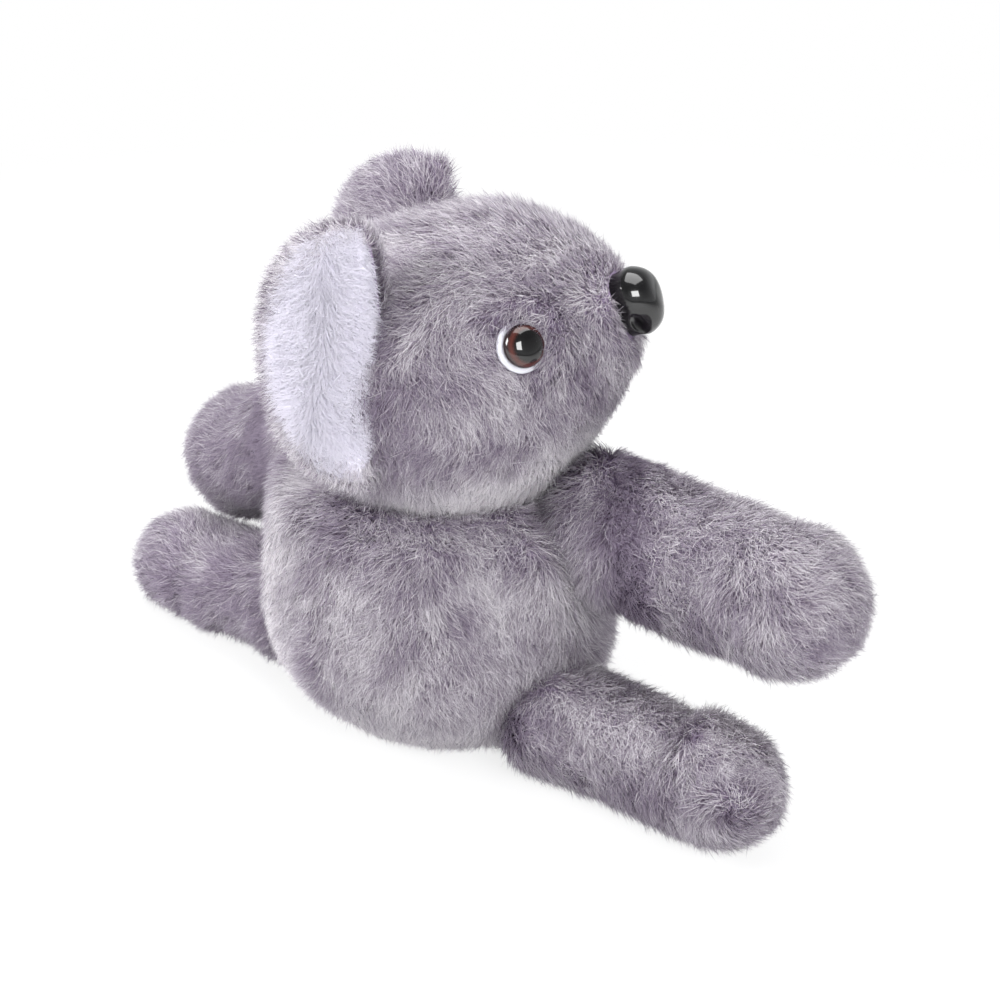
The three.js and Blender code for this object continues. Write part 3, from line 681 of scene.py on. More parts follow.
def speckle_group():
    """A mask: 0.6 of a fine noise plus 0.4 of a broad one, on object coordinates."""
    group, given, out = new_group("speckle", "NodeSocketFloat", ("Fine Scale", "Broad Scale"), "Mask")
    place = add_node(group, "ShaderNodeTexCoord").outputs["Object"]
    fine, broad = (
        add_node(group, "ShaderNodeTexNoise", {"Vector": place, "Scale": given.outputs[label]}).outputs["Fac"]
        for label in ("Fine Scale", "Broad Scale")
    )
    less = add_node(group, "ShaderNodeMath", {0: broad, 1: 0.4}, operation="MULTIPLY").outputs[0]
    both = add_node(group, "ShaderNodeMath", {0: fine, 1: 0.6, 2: less}, operation="MULTIPLY_ADD")
    feed(out, {"Mask": both.outputs[0]})
    return group


PILE_SHADE = pile_shade_group()
SPECKLE = speckle_group()


def bare_material(name, values):
    """A material with its one shader, and values for the shader's sockets."""
    material = bpy.data.materials.new(name)
    material.use_nodes = True
    shader = material.node_tree.nodes["Principled BSDF"]
    feed(shader, values)
    return material, shader


def pile_material(name, through_share, colours):
    """Silky pile: the pile shade on a soft sheen, with a share of the light shining through the blades."""
    material, shader = bare_material(name, {
        "Roughness": 0.62,
        "Specular IOR Level": 0.3,
        "Sheen Weight": 0.12,
        "Sheen Roughness": 0.5,
    })
    tree = material.node_tree
    shade = add_node(tree, "ShaderNodeGroup", colours, node_tree=PILE_SHADE).outputs["Colour"]
    feed(shader, {"Base Color": shade})
    through = add_node(tree, "ShaderNodeBsdfTranslucent", {"Color": shade})
    mixed_surface(tree, through_share, shader, through, "Material Output")
    return material


def speckled_material(name, low, high, fine, broad, roughness, bump, distance, specular=0.5):
    """Two colours mixed by the speckle, with the same speckle as bump and as a little roughness."""
    material, shader = bare_material(name, {"Specular IOR Level": specular})
    tree = material.node_tree
    scales = {"Fine Scale": fine, "Broad Scale": broad}
    mask = add_node(tree, "ShaderNodeGroup", scales, node_tree=SPECKLE).outputs["Mask"]
    spread = {"Value": mask, "To Min": roughness * 0.8, "To Max": min(roughness * 1.2, 1)}
    relief = {"Height": mask, "Strength": bump, "Distance": distance}
    feed(shader, {
        "Base Color": mixed_colour(tree, mask, low, high),
        "Roughness": add_node(tree, "ShaderNodeMapRange", spread).outputs[0],
        "Normal": add_node(tree, "ShaderNodeBump", relief).outputs[0],
    })
    return material


GREY_PILE = pile_material("grey_pile", 0.36, {
    "Dark Root": colour(104, 87, 113),
    "Dark Tip": colour(155, 143, 162),
    "Pale Root": colour(184, 174, 186),
    "Pale Tip": colour(252, 250, 252),
})
WHITE_PILE = pile_material("white_pile", 0.46, {
    "Dark Root": colour(233, 230, 241),
    "Dark Tip": colour(239, 236, 246),
    "Pale Root": colour(239, 237, 246),
    "Pale Tip": colour(243, 241, 250),
})
GREY_BACKING = speckled_material(
    "grey_backing", colour(120, 104, 130), colour(150, 136, 160), 900, 90, 0.9, 0.6, 0.001, 0.2
)
WHITE_BACKING = speckled_material(
    "white_backing", colour(198, 195, 206), colour(214, 211, 222), 900, 90, 0.9, 0.6, 0.001, 0.2
)
FIBRE = speckled_material(
    "loose_fibre", colour(226, 222, 214), colour(248, 246, 240), 700, 60, 1.0, 0.9, 0.003, 0.2
)
NYLON = speckled_material(
    "natural_nylon", colour(206, 203, 192), colour(226, 224, 215), 500, 40, 0.42, 0.1, 0.0003
)
RING_WHITE = speckled_material(
    "ring_white", colour(188, 188, 196), colour(200, 200, 207), 800, 60, 0.3, 0.08, 0.0002
)


def nose_material():
    """Polished black plastic: a faint speckle of wear under a clear coat, which thins out in the nostrils."""
    material = speckled_material(
        "polished_black", colour(3, 3, 4), colour(9, 8, 10), 320, 45, 0.3, 0.02, 0.0002, 0.1
    )
    tree = material.node_tree
    hollow = add_node(tree, "ShaderNodeAttribute", attribute_name="hollow").outputs["Fac"]
    coated = add_node(tree, "ShaderNodeMath", {0: 1.0, 1: hollow}, operation="SUBTRACT", use_clamp=True)
    feed(tree.nodes["Principled BSDF"], {"Coat Weight": coated.outputs[0], "Coat Roughness": 0.04})
    return material


EYE_MAP = "EyeFace"
EYE_BANDS = (             # from the middle of the eye, as shares of its radius: a pupil, an iris and its edge
    (0.0, colour(4, 3, 4)),
    (0.72, colour(5, 4, 5)),
    (0.80, colour(44, 19, 16)),
    (0.88, colour(70, 33, 28)),
    (0.97, colour(58, 28, 25)),
    (1.0, colour(30, 16, 16)),
)
STREAK_REACH = 0.08       # how far fine streaks move the bands


def eye_material():
    """The bands of colour by the distance from the eye's middle on its own map, under a clear coat."""
    material, shader = bare_material("eye_gloss", {
        "Roughness": 0.3,
        "Specular IOR Level": 0.05,
        "Coat Weight": 1.0,
        "Coat Roughness": 0.02,
    })
    tree = material.node_tree
    place = add_node(tree, "ShaderNodeUVMap", uv_map=EYE_MAP).outputs[0]
    away = add_node(tree, "ShaderNodeVectorMath", {0: place}, operation="LENGTH").outputs["Value"]
    streaks = add_node(tree, "ShaderNodeTexNoise", {"Vector": place, "Scale": 9, "Detail": 4}).outputs["Fac"]
    shift = add_node(tree, "ShaderNodeMath", {0: streaks, 1: STREAK_REACH, 2: away}, operation="MULTIPLY_ADD")
    ramp = add_node(tree, "ShaderNodeValToRGB", {"Fac": shift.outputs[0]})
    while len(ramp.color_ramp.elements) < len(EYE_BANDS):
        ramp.color_ramp.elements.new(0.5)
    for element, (position, value) in zip(ramp.color_ramp.elements, EYE_BANDS):
        element.position = position
        element.color = value
    feed(shader, {"Base Color": ramp.outputs["Color"]})
    return material


POLISHED_BLACK = nose_material()
EYE_GLOSS = eye_material()


# Pile


def scattered(points, faces, seed):
    """Random places on a skin, as many on each face as its area asks, and the unit way out at each."""
    rng = np.random.default_rng(seed)
    corner = points[faces]
    area = np.linalg.norm(np.cross(corner[:, 1] - corner[:, 0], corner[:, 2] - corner[:, 0]), axis=1) / 2
    count = int(area.sum() * PILE_PER_MM2)
    chosen = np.searchsorted(np.cumsum(area) / area.sum(), rng.random(count)).clip(0, len(faces) - 1)
    a, b = rng.random(count), rng.random(count)
    over = a + b > 1
    a[over], b[over] = 1 - a[over], 1 - b[over]
    weight = np.stack([1 - a - b, a, b], 1)
    normals = point_normals(points, faces)
    roots = np.einsum("ij,ijk->ik", weight, corner[chosen])
    ways = unit(np.einsum("ij,ijk->ik", weight, normals[faces[chosen]]))
    return roots, ways


def combed(flow, normals):
    """The part of a flow that lies in the surface."""
    return unit(flow - (flow * normals).sum(1)[:, None] * normals)


def swirled(flow, normals, angle):
    """A flow in the surface, turned in it by an angle in degrees at each point."""
    turn = np.radians(angle)[:, None]
    return flow * np.cos(turn) + np.cross(normals, flow) * np.sin(turn)


LIFT_SPREAD = 11          # of the blades' lifts, in degrees
FLOW_SPREAD = 0.5
BEND = (0.3, -0.25)       # a blade's lower and upper half against its lift, in radians
FINE_PULL = 0.42          # of the way to the middle of a blade's tuft
COARSE_PULL = 0.12
TWIST = 1.1               # the most a blade turns about its own length, in radians
FINE_TONE = 0.24          # how much paler or darker a whole tuft is
COARSE_TONE = 0.14
BLADE_TONE = 0.33


def grow(name, body, material, roots, normals, comb, seed):
    """Blades of three triangles, from an edge at the root over a middle edge to a tip. They bend from steep
    at the root to flat at the tip, lean to the middle of their tuft and face away from the skin. The comb is
    their flow, tone, lift and length."""
    flow, tone, lift, length = comb
    rng = np.random.default_rng(seed)
    count = len(roots)
    lift = np.radians(lift + rng.normal(0, LIFT_SPREAD, count))[:, None]
    flow = unit(flow + FLOW_SPREAD * rng.normal(size=(count, 3)))
    flow = combed(flow, normals)
    low_way, high_way = (unit(flow * np.cos(lift + bend) + normals * np.sin(lift + bend)) for bend in BEND)
    length = (length * rng.uniform(0.75, 1.12, count))[:, None]
    fine, fine_number = nearest_tuft(roots, FINE_TUFT, seed + 1)
    coarse, coarse_number = nearest_tuft(roots, COARSE_TUFT, seed + 2)
    lean = FINE_PULL * (fine - roots) + COARSE_PULL * (coarse - roots)
    lean = lean - (lean * normals).sum(1)[:, None] * normals
    middle = roots + low_way * length * 0.45 + 0.3 * lean
    tip = middle + high_way * length * 0.55 + 0.7 * lean
    along = unit(tip - roots)
    across = unit(np.cross(along, normals))
    face = np.cross(across, along)
    across = np.where(((face * normals).sum(1) < 0)[:, None], -across, across)
    face = np.cross(across, along)
    twist = rng.uniform(-TWIST, TWIST, count)[:, None]
    across = unit(across * np.cos(twist) + face * np.sin(twist))
    wide = BLADE_WIDTH * rng.uniform(0.75, 1.25, count)[:, None] / 2
    points = np.stack([roots - across * wide, roots + across * wide,
                       middle + across * wide * 0.8, middle - across * wide * 0.8, tip], 1)
    points[:, :, 2] = np.maximum(points[:, :, 2], BLADE_FLOOR + 0.3 * rng.random(count)[:, None])
    shading = unit(normals * 0.8 + high_way * 0.45)
    shade = tone + FINE_TONE * (fine_number - 0.5) + COARSE_TONE * (coarse_number - 0.5)
    shade = np.clip(shade + BLADE_TONE * rng.normal(size=count), 0.03, 0.97)
    pieces = math.ceil(count / BLADES_IN_A_PIECE)
    for k in range(pieces):
        some = slice(k, None, pieces)
        label = name if pieces == 1 else f"{name}_{k + 1}"
        piece = in_scene(label, blade_mesh(label, points[some], shading[some], shade[some], material))
        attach(piece, body)


BLADE_CORNERS = np.array([0, 1, 2, 3, 3, 2, 4])    # a quad from root to middle, then a triangle to the tip
CORNER_SIDES = np.array([-1, 1, 1, -1, -1, 1, 0])
CORNER_HEIGHTS = [0.02, 0.02, 0.5, 0.5, 0.5, 0.5, 0.98]
SIDE_SHADE = 0.012        # how far apart on the map the two sides of a blade are from its middle


def blade_mesh(name, points, shading, shade, material):
    """The mesh of blades, each a quad and a triangle, on a map of their shade and the way root to tip."""
    count = len(points)
    blade = np.arange(count)[:, None]
    mesh = bpy.data.meshes.new(name)
    mesh.vertices.add(5 * count)
    mesh.vertices.foreach_set("co", (points * MM).astype(np.float32).ravel())
    mesh.loops.add(7 * count)
    mesh.loops.foreach_set("vertex_index", (5 * blade + BLADE_CORNERS).astype(np.int32).ravel())
    mesh.polygons.add(2 * count)
    mesh.polygons.foreach_set("loop_start", (7 * blade + np.array([0, 4])).astype(np.int32).ravel())
    u = shade[:, None] + SIDE_SHADE * CORNER_SIDES
    v = np.tile(CORNER_HEIGHTS, (count, 1))
    layer = mesh.uv_layers.new(name=PILE_MAP)
    layer.uv.foreach_set("vector", np.stack([u, v], -1).astype(np.float32).ravel())
    mesh.update(calc_edges=True)
    mesh.shade_smooth()
    mesh.normals_split_custom_set_from_vertices(np.repeat(shading, 5, axis=0).tolist())
    mesh.materials.append(material)
    return mesh


def surface_frame(way):
    """Where a ray of the head's frame leaves the head: the place and columns across, up and out."""
    way = unit(np.array(way, float))
    place = way * head_reach(way[None])[0]
    across = unit(np.cross([0, 0, 1], way))
    up = np.cross(way, across)
    return from_head(place[None])[0], HEAD_ROTATION @ np.stack([across, up, way], 1)


EYE_FRAMES = {
    "left": surface_frame(EYE_PLACE),
    "right": surface_frame((EYE_PLACE[0], -EYE_PLACE[1], EYE_PLACE[2])),
}
NOSE_FRAME = surface_frame(NOSE_WAY)


def skin_and_filling(name, form, filling, body, rows, sides):
    """A closed skin in place of the cover and a closed filling in place of the stuffing. Returns the skin."""
    cover, stuffing = f"{name}_cover", f"{name}_stuffing"
    skin = padded_piece(f"{name}_skin", form, rows, sides, GREY_BACKING, body, cover)
    rows, sides = rows // 3, sides // 3
    padded_piece(f"{name}_filling", filling, rows, sides, FIBRE, body, stuffing)
    return skin


def common_tone(points, flow, seed):
    """Patches of paler, flatter pile: a sum of broad and middling waves and of small ones, which are averaged
    along the flow and so drawn out into streaks."""
    broad, middling = ripples(points, BROAD_PATCH, seed), ripples(points, MIDDLE_PATCH, seed + 1)
    streaks = sum(ripples(points + step * flow, STREAK_WIDTH, seed + 2) for step in (-4, -2, 0, 2, 4)) / 5
    return 0.34 * broad + 0.4 * middling + 0.9 * streaks


# Body pile


BARE_NECK = 46            # no pile nearer than this to the neck axis at the height of the head's middle
SEAT_PILE = 12            # how far the pile reaches under the body


def dress_body():
    """The body's skin, filling and pile. Near the limbs the pile runs towards their roots and is longer."""
    form = body_form(SKIN_DEPTH, NECK_GAP, ROOT_GAP)
    points, faces = skin_and_filling("body", form, body_filling, "torso", 90, 150)
    roots, normals = scattered(points, faces, 101)
    keep = np.linalg.norm(roots - [0, 0, HEAD_CENTRE_HEIGHT], axis=1) > BARE_NECK
    from_axis = np.hypot(roots[:, 0], roots[:, 1])
    keep &= (roots[:, 2] > SKIN_DEPTH + 0.5) | (from_axis > BODY_SEAT_RADIUS - SEAT_PILE)
    for limb in LIMBS.values():
        keep &= np.linalg.norm(roots - hinge_of(limb), axis=1) > limb["sizes"][1] - SKIN_DEPTH + 1.2
    roots, normals = roots[keep], normals[keep]
    beside = near_limb_roots(roots)
    towards = np.zeros_like(roots)
    for limb in LIMBS.values():
        over = hinge_of(limb) - roots
        close = 1 - ease(0, 10, np.linalg.norm(over, axis=1) - limb["sizes"][1])
        towards = towards + 0.8 * close[:, None] * unit(over)
    flow, tone, lift, length = body_comb(roots, normals, towards)
    comb = (flow, tone, lift + 6 * beside, length + 4 * beside)
    grow("body_pile", "torso", GREY_PILE, roots, normals, comb, 201)


def body_comb(points, normals, towards):
    """Flow, tone, lift and length of the body's pile, which also covers the sewn roots of the arms.

    It falls, parts at the belly seam and swirls. It is paler with painted rim light on a strip beside the
    seam, where it also lies flatter, and paler low down with painted light bounced up from the floor. It is
    darker in the seam, partly from its parted roots and partly with painted shade in the groove, and darker
    with painted shade at the neck under the head.
    """
    height = points[:, 2]
    azimuth = np.degrees(np.arctan2(points[:, 1], points[:, 0]))
    off_seam = degrees_past(azimuth, SEAM_AZIMUTH)
    sideways = unit(np.stack([-points[:, 1], points[:, 0], np.zeros(len(points))], 1))
    parting = hump(off_seam, 0, 13) * np.tanh(off_seam / 3) * ease(8, 24, height) * (1 - ease(60, 76, height))
    flow = combed(DOWN + 0.7 * parting[:, None] * sideways + towards, normals)
    turn = 30 * ripples(points, 42, 21) + 18 * ripples(points, 15, 24)
    flow = swirled(flow, normals, turn * ease(6, 22, height))
    patches = common_tone(points, flow, 31)
    # at the neck: painted shade under the head, where the pile also stands up
    neck = ease(66, 86, height)
    # the strip beside the seam: painted rim light, where the pile also lies flatter
    strip = hump(off_seam, -34, 14)
    # darker in the seam: partly its parted roots, partly painted shade in the groove
    seam = hump(off_seam, -3, 7) * ease(8, 24, height)
    # low down: painted light bounced up from the floor, where the pile also lies flatter and shorter
    low = 1 - ease(8, 34, height)
    tone = BODY_PILE["tone"] + 0.38 * patches - 0.18 * neck + 0.46 * strip - 0.34 * seam + 0.38 * low
    lift = BODY_PILE["lift"] - 10 * patches + 12 * neck - 14 * strip + 6 * seam - 8 * low
    length = BODY_PILE["length"] - 1.2 * strip - 1.6 * low
    return flow, tone, lift, length


def near_limb_roots(points):
    """1 beside the seam of a limb, falling to 0 in 14 mm."""
    nearest = np.full(len(points), FAR)
    for limb in LIMBS.values():
        away = np.linalg.norm(points - hinge_of(limb), axis=1) - limb["sizes"][1]
        nearest = np.minimum(nearest, away)
    return 1 - ease(-2, 12, nearest)


def body_filling(along, around):
    """The body's form further in, hollow where the neck joint is."""
    points = body_form(FILLING_DEPTH, FILLING_DEPTH, FILLING_GAP)(along, around)
    radius = np.hypot(points[:, 0], points[:, 1])
    points[:, 2] = np.minimum(points[:, 2], NECK_HOLLOW_FLOOR + 14 * ease(22, 32, radius))
    return points


# Head pile


FACE_DEPTH = 12           # how far behind its own plane an eye or the nose still counts


def round_eyes(points):
    """How far points lie from the axis of the nearer eye, and the way from it."""
    close = np.full(len(points), FAR)
    away = np.zeros_like(points)
    for place, rotation in EYE_FRAMES.values():
        off = (points - place) @ rotation
        distance = np.hypot(off[:, 0], off[:, 1])
        near = (off[:, 2] > -FACE_DEPTH) & (distance < close)
        close = np.where(near, distance, close)
        away = np.where(near[:, None], level_ways(off) @ rotation.T, away)
    return close, away


def round_nose(points):
    """How far points lie from the nose's axis, as a share of its tapered edge, and the way from it."""
    place, rotation = NOSE_FRAME
    off = (points - place) @ rotation
    up = off[:, 1] / (NOSE_HEIGHT / 2)
    close = np.hypot(off[:, 0] / (NOSE_WIDTH / 2) / (1 + NOSE_TAPER * np.clip(up, -1, 1)), up)
    return np.where(off[:, 2] > -FACE_DEPTH, close, FAR), level_ways(off) @ rotation.T


def dress_head():
    """The head's skin, filling and pile. The skin is bare at the neck and behind the eyes and the nose."""
    points, faces = skin_and_filling("head", head_form(SKIN_DEPTH, NECK_GAP), head_filling, "head", 120, 160)
    roots, normals = scattered(points, faces, 102)
    radius = np.hypot(roots[:, 0], roots[:, 1])
    keep = ~((radius < BODY_SHOULDER_RADIUS - 10) & (roots[:, 2] < body_top(radius) + 3))
    keep &= round_eyes(roots)[0] > EYE_RING_RADIUS - 0.9
    keep &= round_nose(roots)[0] > 0.92
    roots, normals = roots[keep], normals[keep]
    grow("head_pile", "head", GREY_PILE, roots, normals, head_comb(roots, normals), 202)


def head_comb(points, normals):
    """Flow, tone, lift and length of the head's pile.

    It falls on the cheeks, runs back over the crown and the ridge of the nose, and swirls. Over the eyes and
    round the nose it leans towards them, and it is short there and under the eyes. It is paler with painted
    light low down, on the crown and round the nose, and darker with painted shade in the folds at the ears'
    roots.
    """
    eye_close, eye_away = round_eyes(points)
    nose_close, nose_away = round_nose(points)
    ahead = HEAD_ROTATION[:, 0]
    way = unit(to_head(points))
    crown = ease(0.2, 0.65, way[:, 2])
    ridge = hump(way[:, 1], 0, 0.32) * ease(0.02, 0.2, way[:, 2]) * ease(0, 0.4, way[:, 0])
    cheek = ease(-0.05, -0.5, way[:, 2])
    chin = ease(0.45, 0.8, way[:, 0]) * ease(0.1, -0.25, way[:, 2])
    onward = 0.35 - 0.75 * cheek - 3.4 * crown - 4 * ridge
    flow = (1 - 0.8 * ridge)[:, None] * DOWN + onward[:, None] * ahead
    beside_eye = eye_away @ unit(ahead + 0.5 * np.array([0, 0, 1.0]))
    under_eye = hump(eye_close, 9, 5) * np.clip(-beside_eye, 0, 1)
    over_eye = hump(eye_close, 8.5, 3.5) * np.clip(beside_eye, 0, 1)
    flow = flow - 1.6 * over_eye[:, None] * eye_away
    at_nose = 1 - ease(1.0, 1.5, nose_close)
    flow = flow - 0.25 * at_nose[:, None] * nose_away
    flow = combed(flow, normals)
    flow = swirled(flow, normals, 34 * ripples(points, 46, 22) + 20 * ripples(points, 15, 23))
    patches = common_tone(points, flow, 41)
    # the fold in front of an ear's root: darker with painted shade, and the pile shorter
    shadowed_ear_fold = near_ear_roots(points)
    low = ease(-0.4, -0.7, way[:, 2])
    muzzle = ease(0.35, 0.75, way[:, 0]) * hump(way[:, 2], -0.05, 0.4)
    # paler on the crown with painted light from above, and low down with painted light on the underside
    tone = HEAD_PILE["tone"] + (0.5 - 0.2 * crown) * patches + 0.23 * crown - 0.5 * shadowed_ear_fold + 0.95 * low
    # paler round the nose: painted light against the shade beside it
    tone = tone + 0.1 * at_nose - 0.06 * over_eye + 0.16 * muzzle
    lift = HEAD_PILE["lift"] - 12 * patches + 3 * crown + 12 * muzzle + 4 * low + 4 * at_nose + 10 * over_eye
    length = HEAD_PILE["length"] - 1.6 * under_eye - 0.4 * over_eye - 3.6 * at_nose - 1.6 * muzzle
    length = length - 1.2 * chin - 3 * shadowed_ear_fold
    return flow, tone, lift, length


def near_ear_roots(points):
    """1 in the fold in front of an ear's root, falling to 0 in 16 mm."""
    best = np.zeros(len(points))
    for side in ("left", "right"):
        place, rotation = ear_frame(side)
        off = (points - place) @ rotation
        best = np.maximum(best, hump(off[:, 0], -6, 7) * hump(off[:, 1], -4, 26) * (off[:, 2] > -16))
    return best


def head_filling(along, around):
    """The head's form further in, clear of the neck joint."""
    points = head_form(FILLING_DEPTH, 4.0)(along, around)
    radius = np.hypot(points[:, 0], points[:, 1])
    points[:, 2] = np.maximum(points[:, 2], NECK_HOLLOW_ROOF - 12 * ease(24, 40, radius))
    return points


# Limb pile


def dress_limb(name, seed):
    """A limb's skin, filling and pile, which is bare inside the body."""
    limb = LIMBS[name]
    points, faces = skin_and_filling(
        name, limb_form(name, SKIN_DEPTH), limb_form(name, FILLING_DEPTH), name, 90, 96
    )
    roots, normals = scattered(points, faces, seed)
    along = ((roots - hinge_of(limb)) @ limb_rotation(limb))[:, 0]
    beyond = beyond_body(roots)
    keep = (beyond > -7.5) & ((along > -6) | (beyond > -3))
    roots, normals = roots[keep], normals[keep]
    comb = limb_comb(name, roots, normals, along[keep], beyond[keep], seed)
    grow(f"{name}_pile", name, GREY_PILE, roots, normals, comb, seed + 9)


def limb_comb(name, points, normals, along, beyond, seed):
    """Flow, tone, lift and length of a limb's pile.

    It runs out along the limb, falls in front, swirls, and turns about a whorl on a foot. It is paler on
    top with painted light, the more towards a leg's back, and pale on the paws. It is darker with painted
    shade in the seam's crease and in a leg's ankle crease. On the body's side of its seam an arm's pile
    becomes the body's.
    """
    limb, leg = LIMBS[name], name.startswith("leg")
    reach, _, end = limb["sizes"]
    rotation = limb_rotation(limb)
    share = along / reach
    whorl = np.array([reach * 0.9, -0.7 * end * limb["side"], 0.3 * end]) @ rotation.T + hinge_of(limb)
    from_whorl = points - whorl
    whorl_distance = np.linalg.norm(from_whorl, axis=1)
    curl = (1 - ease(4, 20, whorl_distance)) * leg
    front = ease(-0.2, 0.5, -normals[:, 1])
    flow = combed(0.8 * rotation[:, 0] + 0.45 * front[:, None] * DOWN, normals) * (1 - curl)[:, None]
    flow = flow + combed(from_whorl, normals) * curl[:, None]
    turn = 42 * ripples(points, 38, seed + 3) + 20 * ripples(points, 15, seed + 4) + 24 * curl
    flow = swirled(flow, normals, turn)
    patches = common_tone(points, flow, seed + 5)
    if leg:
        sewn = np.zeros(len(points))
        crease = hump(beyond, -2, 5)
    else:
        past = arm_seam_distance(points, limb)
        sewn = 1 - ease(-4, 4, past)
        crease = hump(past, 4, 7)
    ankle = hump(share, 0.6, 0.07) * leg
    spot = 1 - ease(0, 7, whorl_distance)
    upward, behind = ease(0.1, 0.9, normals[:, 2]), ease(-0.2, 0.5, normals[:, 1])
    # darker in the ankle crease: painted shade
    tone = limb["tone"] + 0.4 * patches - 0.1 * ankle - 0.3 * spot * leg
    # paler on the tops: painted light, the more towards a leg's back
    tone = tone + (0.14 + 0.02 * leg + (0.16 + 0.18 * leg) * behind) * upward
    tone = tone + 0.06 * ease(0.78, 0.96, share) * (1 - leg) + 0.18 * ease(0.6, 0.75, share) * leg
    lift = LIMB_PILE["lift"] - 10 * patches + 12 * curl
    length = np.full(len(points), LIMB_PILE["length"])
    body_flow, body_tone, body_lift, body_length = body_comb(points, normals, np.array([0, -0.5, 0]))
    flow = combed(flow + (body_flow - flow) * sewn[:, None], normals)
    # darker in the crease at the seam: painted shade
    tone = tone + (body_tone - tone) * sewn - 0.9 * crease
    lift = lift + (body_lift - lift) * sewn + 4 * crease
    length = length + (body_length - length) * sewn - 1.5 * crease
    return flow, tone, lift, length


# Ear pile


def dress_ear(side, seed):
    """An ear's grey back and its white front, each a padded skin with its pile, which is bare in the head."""
    place, rotation = ear_frame(side)
    trim = EAR_TRIM[side]
    back_size = (EAR_WIDTH - 2 - trim, EAR_HEIGHT - 9)
    front_size = (EAR_WIDTH - EAR_RIM - trim, EAR_HEIGHT - 2 * EAR_RIM - 2)
    back = ear_form(side, *back_size, EAR_BACK_ROOT_DEPTH, EAR_BACK_THICKNESS - 3.5, EAR_MIDDLE - 1)
    front = ear_form(side, *front_size, EAR_FRONT_ROOT_DEPTH, 0, EAR_FRONT_THICKNESS - 2.5, 0.8)
    for label, form, material, slot, backing in (
        ("back", back, GREY_PILE, "grey_fur", GREY_BACKING),
        ("front", front, WHITE_PILE, "white_fur", WHITE_BACKING),
    ):
        name, body = f"ear_{side}_{label}", f"ear_{side}"
        points, faces = padded_piece(f"{name}_skin", form, 60, 64, backing, body, name)
        roots, normals = scattered(points, faces, seed)
        local = (roots - place) @ rotation
        outward = normals @ rotation[:, 2]
        edge = np.hypot(local[:, 0] / (EAR_WIDTH - trim + 2), local[:, 1] / (EAR_HEIGHT / 2))
        keep = (outward > 0.05) if label == "front" else (outward < 0.5) | (edge > 0.76)
        keep &= ~inside_head(roots, 1.2)
        roots, normals, local, edge = roots[keep], normals[keep], local[keep], edge[keep]
        combing = ear_front_comb if label == "front" else ear_back_comb
        comb = combing(side, roots, normals, local, edge, seed)
        grow(f"{name}_pile", body, material, roots, normals, comb, seed + 9)
        seed += 40


def ear_front_comb(side, points, normals, local, edge, seed):
    """Flow, tone, lift and length of the white pile: aside from an upright parting, and short at the rim and
    at the root."""
    parting = local[:, 0] - EAR_PARTING - 5 * (local[:, 1] / 40) ** 2
    aside = np.tanh(parting / 5)[:, None] * ear_frame(side)[1][:, 0]
    flow = combed(aside + 0.4 * DOWN, normals)
    flow = swirled(flow, normals, 18 * ripples(points, 26, seed + 3))
    patches = common_tone(points, flow, seed + 5)
    tone = EAR_FRONT_PILE["tone"] + 0.25 * patches - 0.12 * hump(parting, 0, 3)
    lift = EAR_FRONT_PILE["lift"] - 6 * patches + 4 * hump(parting, 0, 4)
    length = EAR_FRONT_PILE["length"] - 4.0 * ease(0.62, 0.85, edge) - 3.5 * (1 - ease(0, 8, local[:, 0]))
    return flow, tone, lift, length


def ear_back_comb(side, points, normals, local, edge, seed):
    """Flow, tone, lift and length of the grey pile: out to the rim, where it is paler and shorter."""
    radial = level_ways(local * [1, 0.35, 1]) @ ear_frame(side)[1].T
    flow = combed(radial + 0.2 * DOWN, normals)
    flow = swirled(flow, normals, 24 * ripples(points, 26, seed + 3))
    patches = common_tone(points, flow, seed + 5)
    rim = ease(0.7, 0.9, edge)
    tone = EAR_BACK_TONE[side] + 0.22 * patches + 0.12 * rim
    lift = EAR_BACK_PILE["lift"] - 8 * patches + 4 * rim
    length = EAR_BACK_PILE["length"] - 1.6 * rim
    return flow, tone, lift, length


# Moulded pieces


def turned_form(outline, frame_of):
    """An outline of radius and height carried round the frame's own axis, and its number of rows."""
    line = np.array(outline, float)
    place, rotation = frame_of

    def surface(along, around):
        radius = np.interp(along * (len(line) - 1), np.arange(len(line)), line[:, 0])
        height = np.interp(along * (len(line) - 1), np.arange(len(line)), line[:, 1])
        points = np.stack([radius * np.cos(around), radius * np.sin(around), height], 1)
        return points @ rotation.T + place

    return surface, len(line) - 1


POCKET_FLOOR = -POCKET_DEPTH
RING_TOP = POCKET_FLOOR + HARD_GAP + EYE_RING_THICKNESS
RING_BEVEL = 0.5
DOME_BACK = RING_TOP + HARD_GAP
BARB = 0.35               # how far the barbs of an eye's shank stand out
BARB_STEP = 2.2


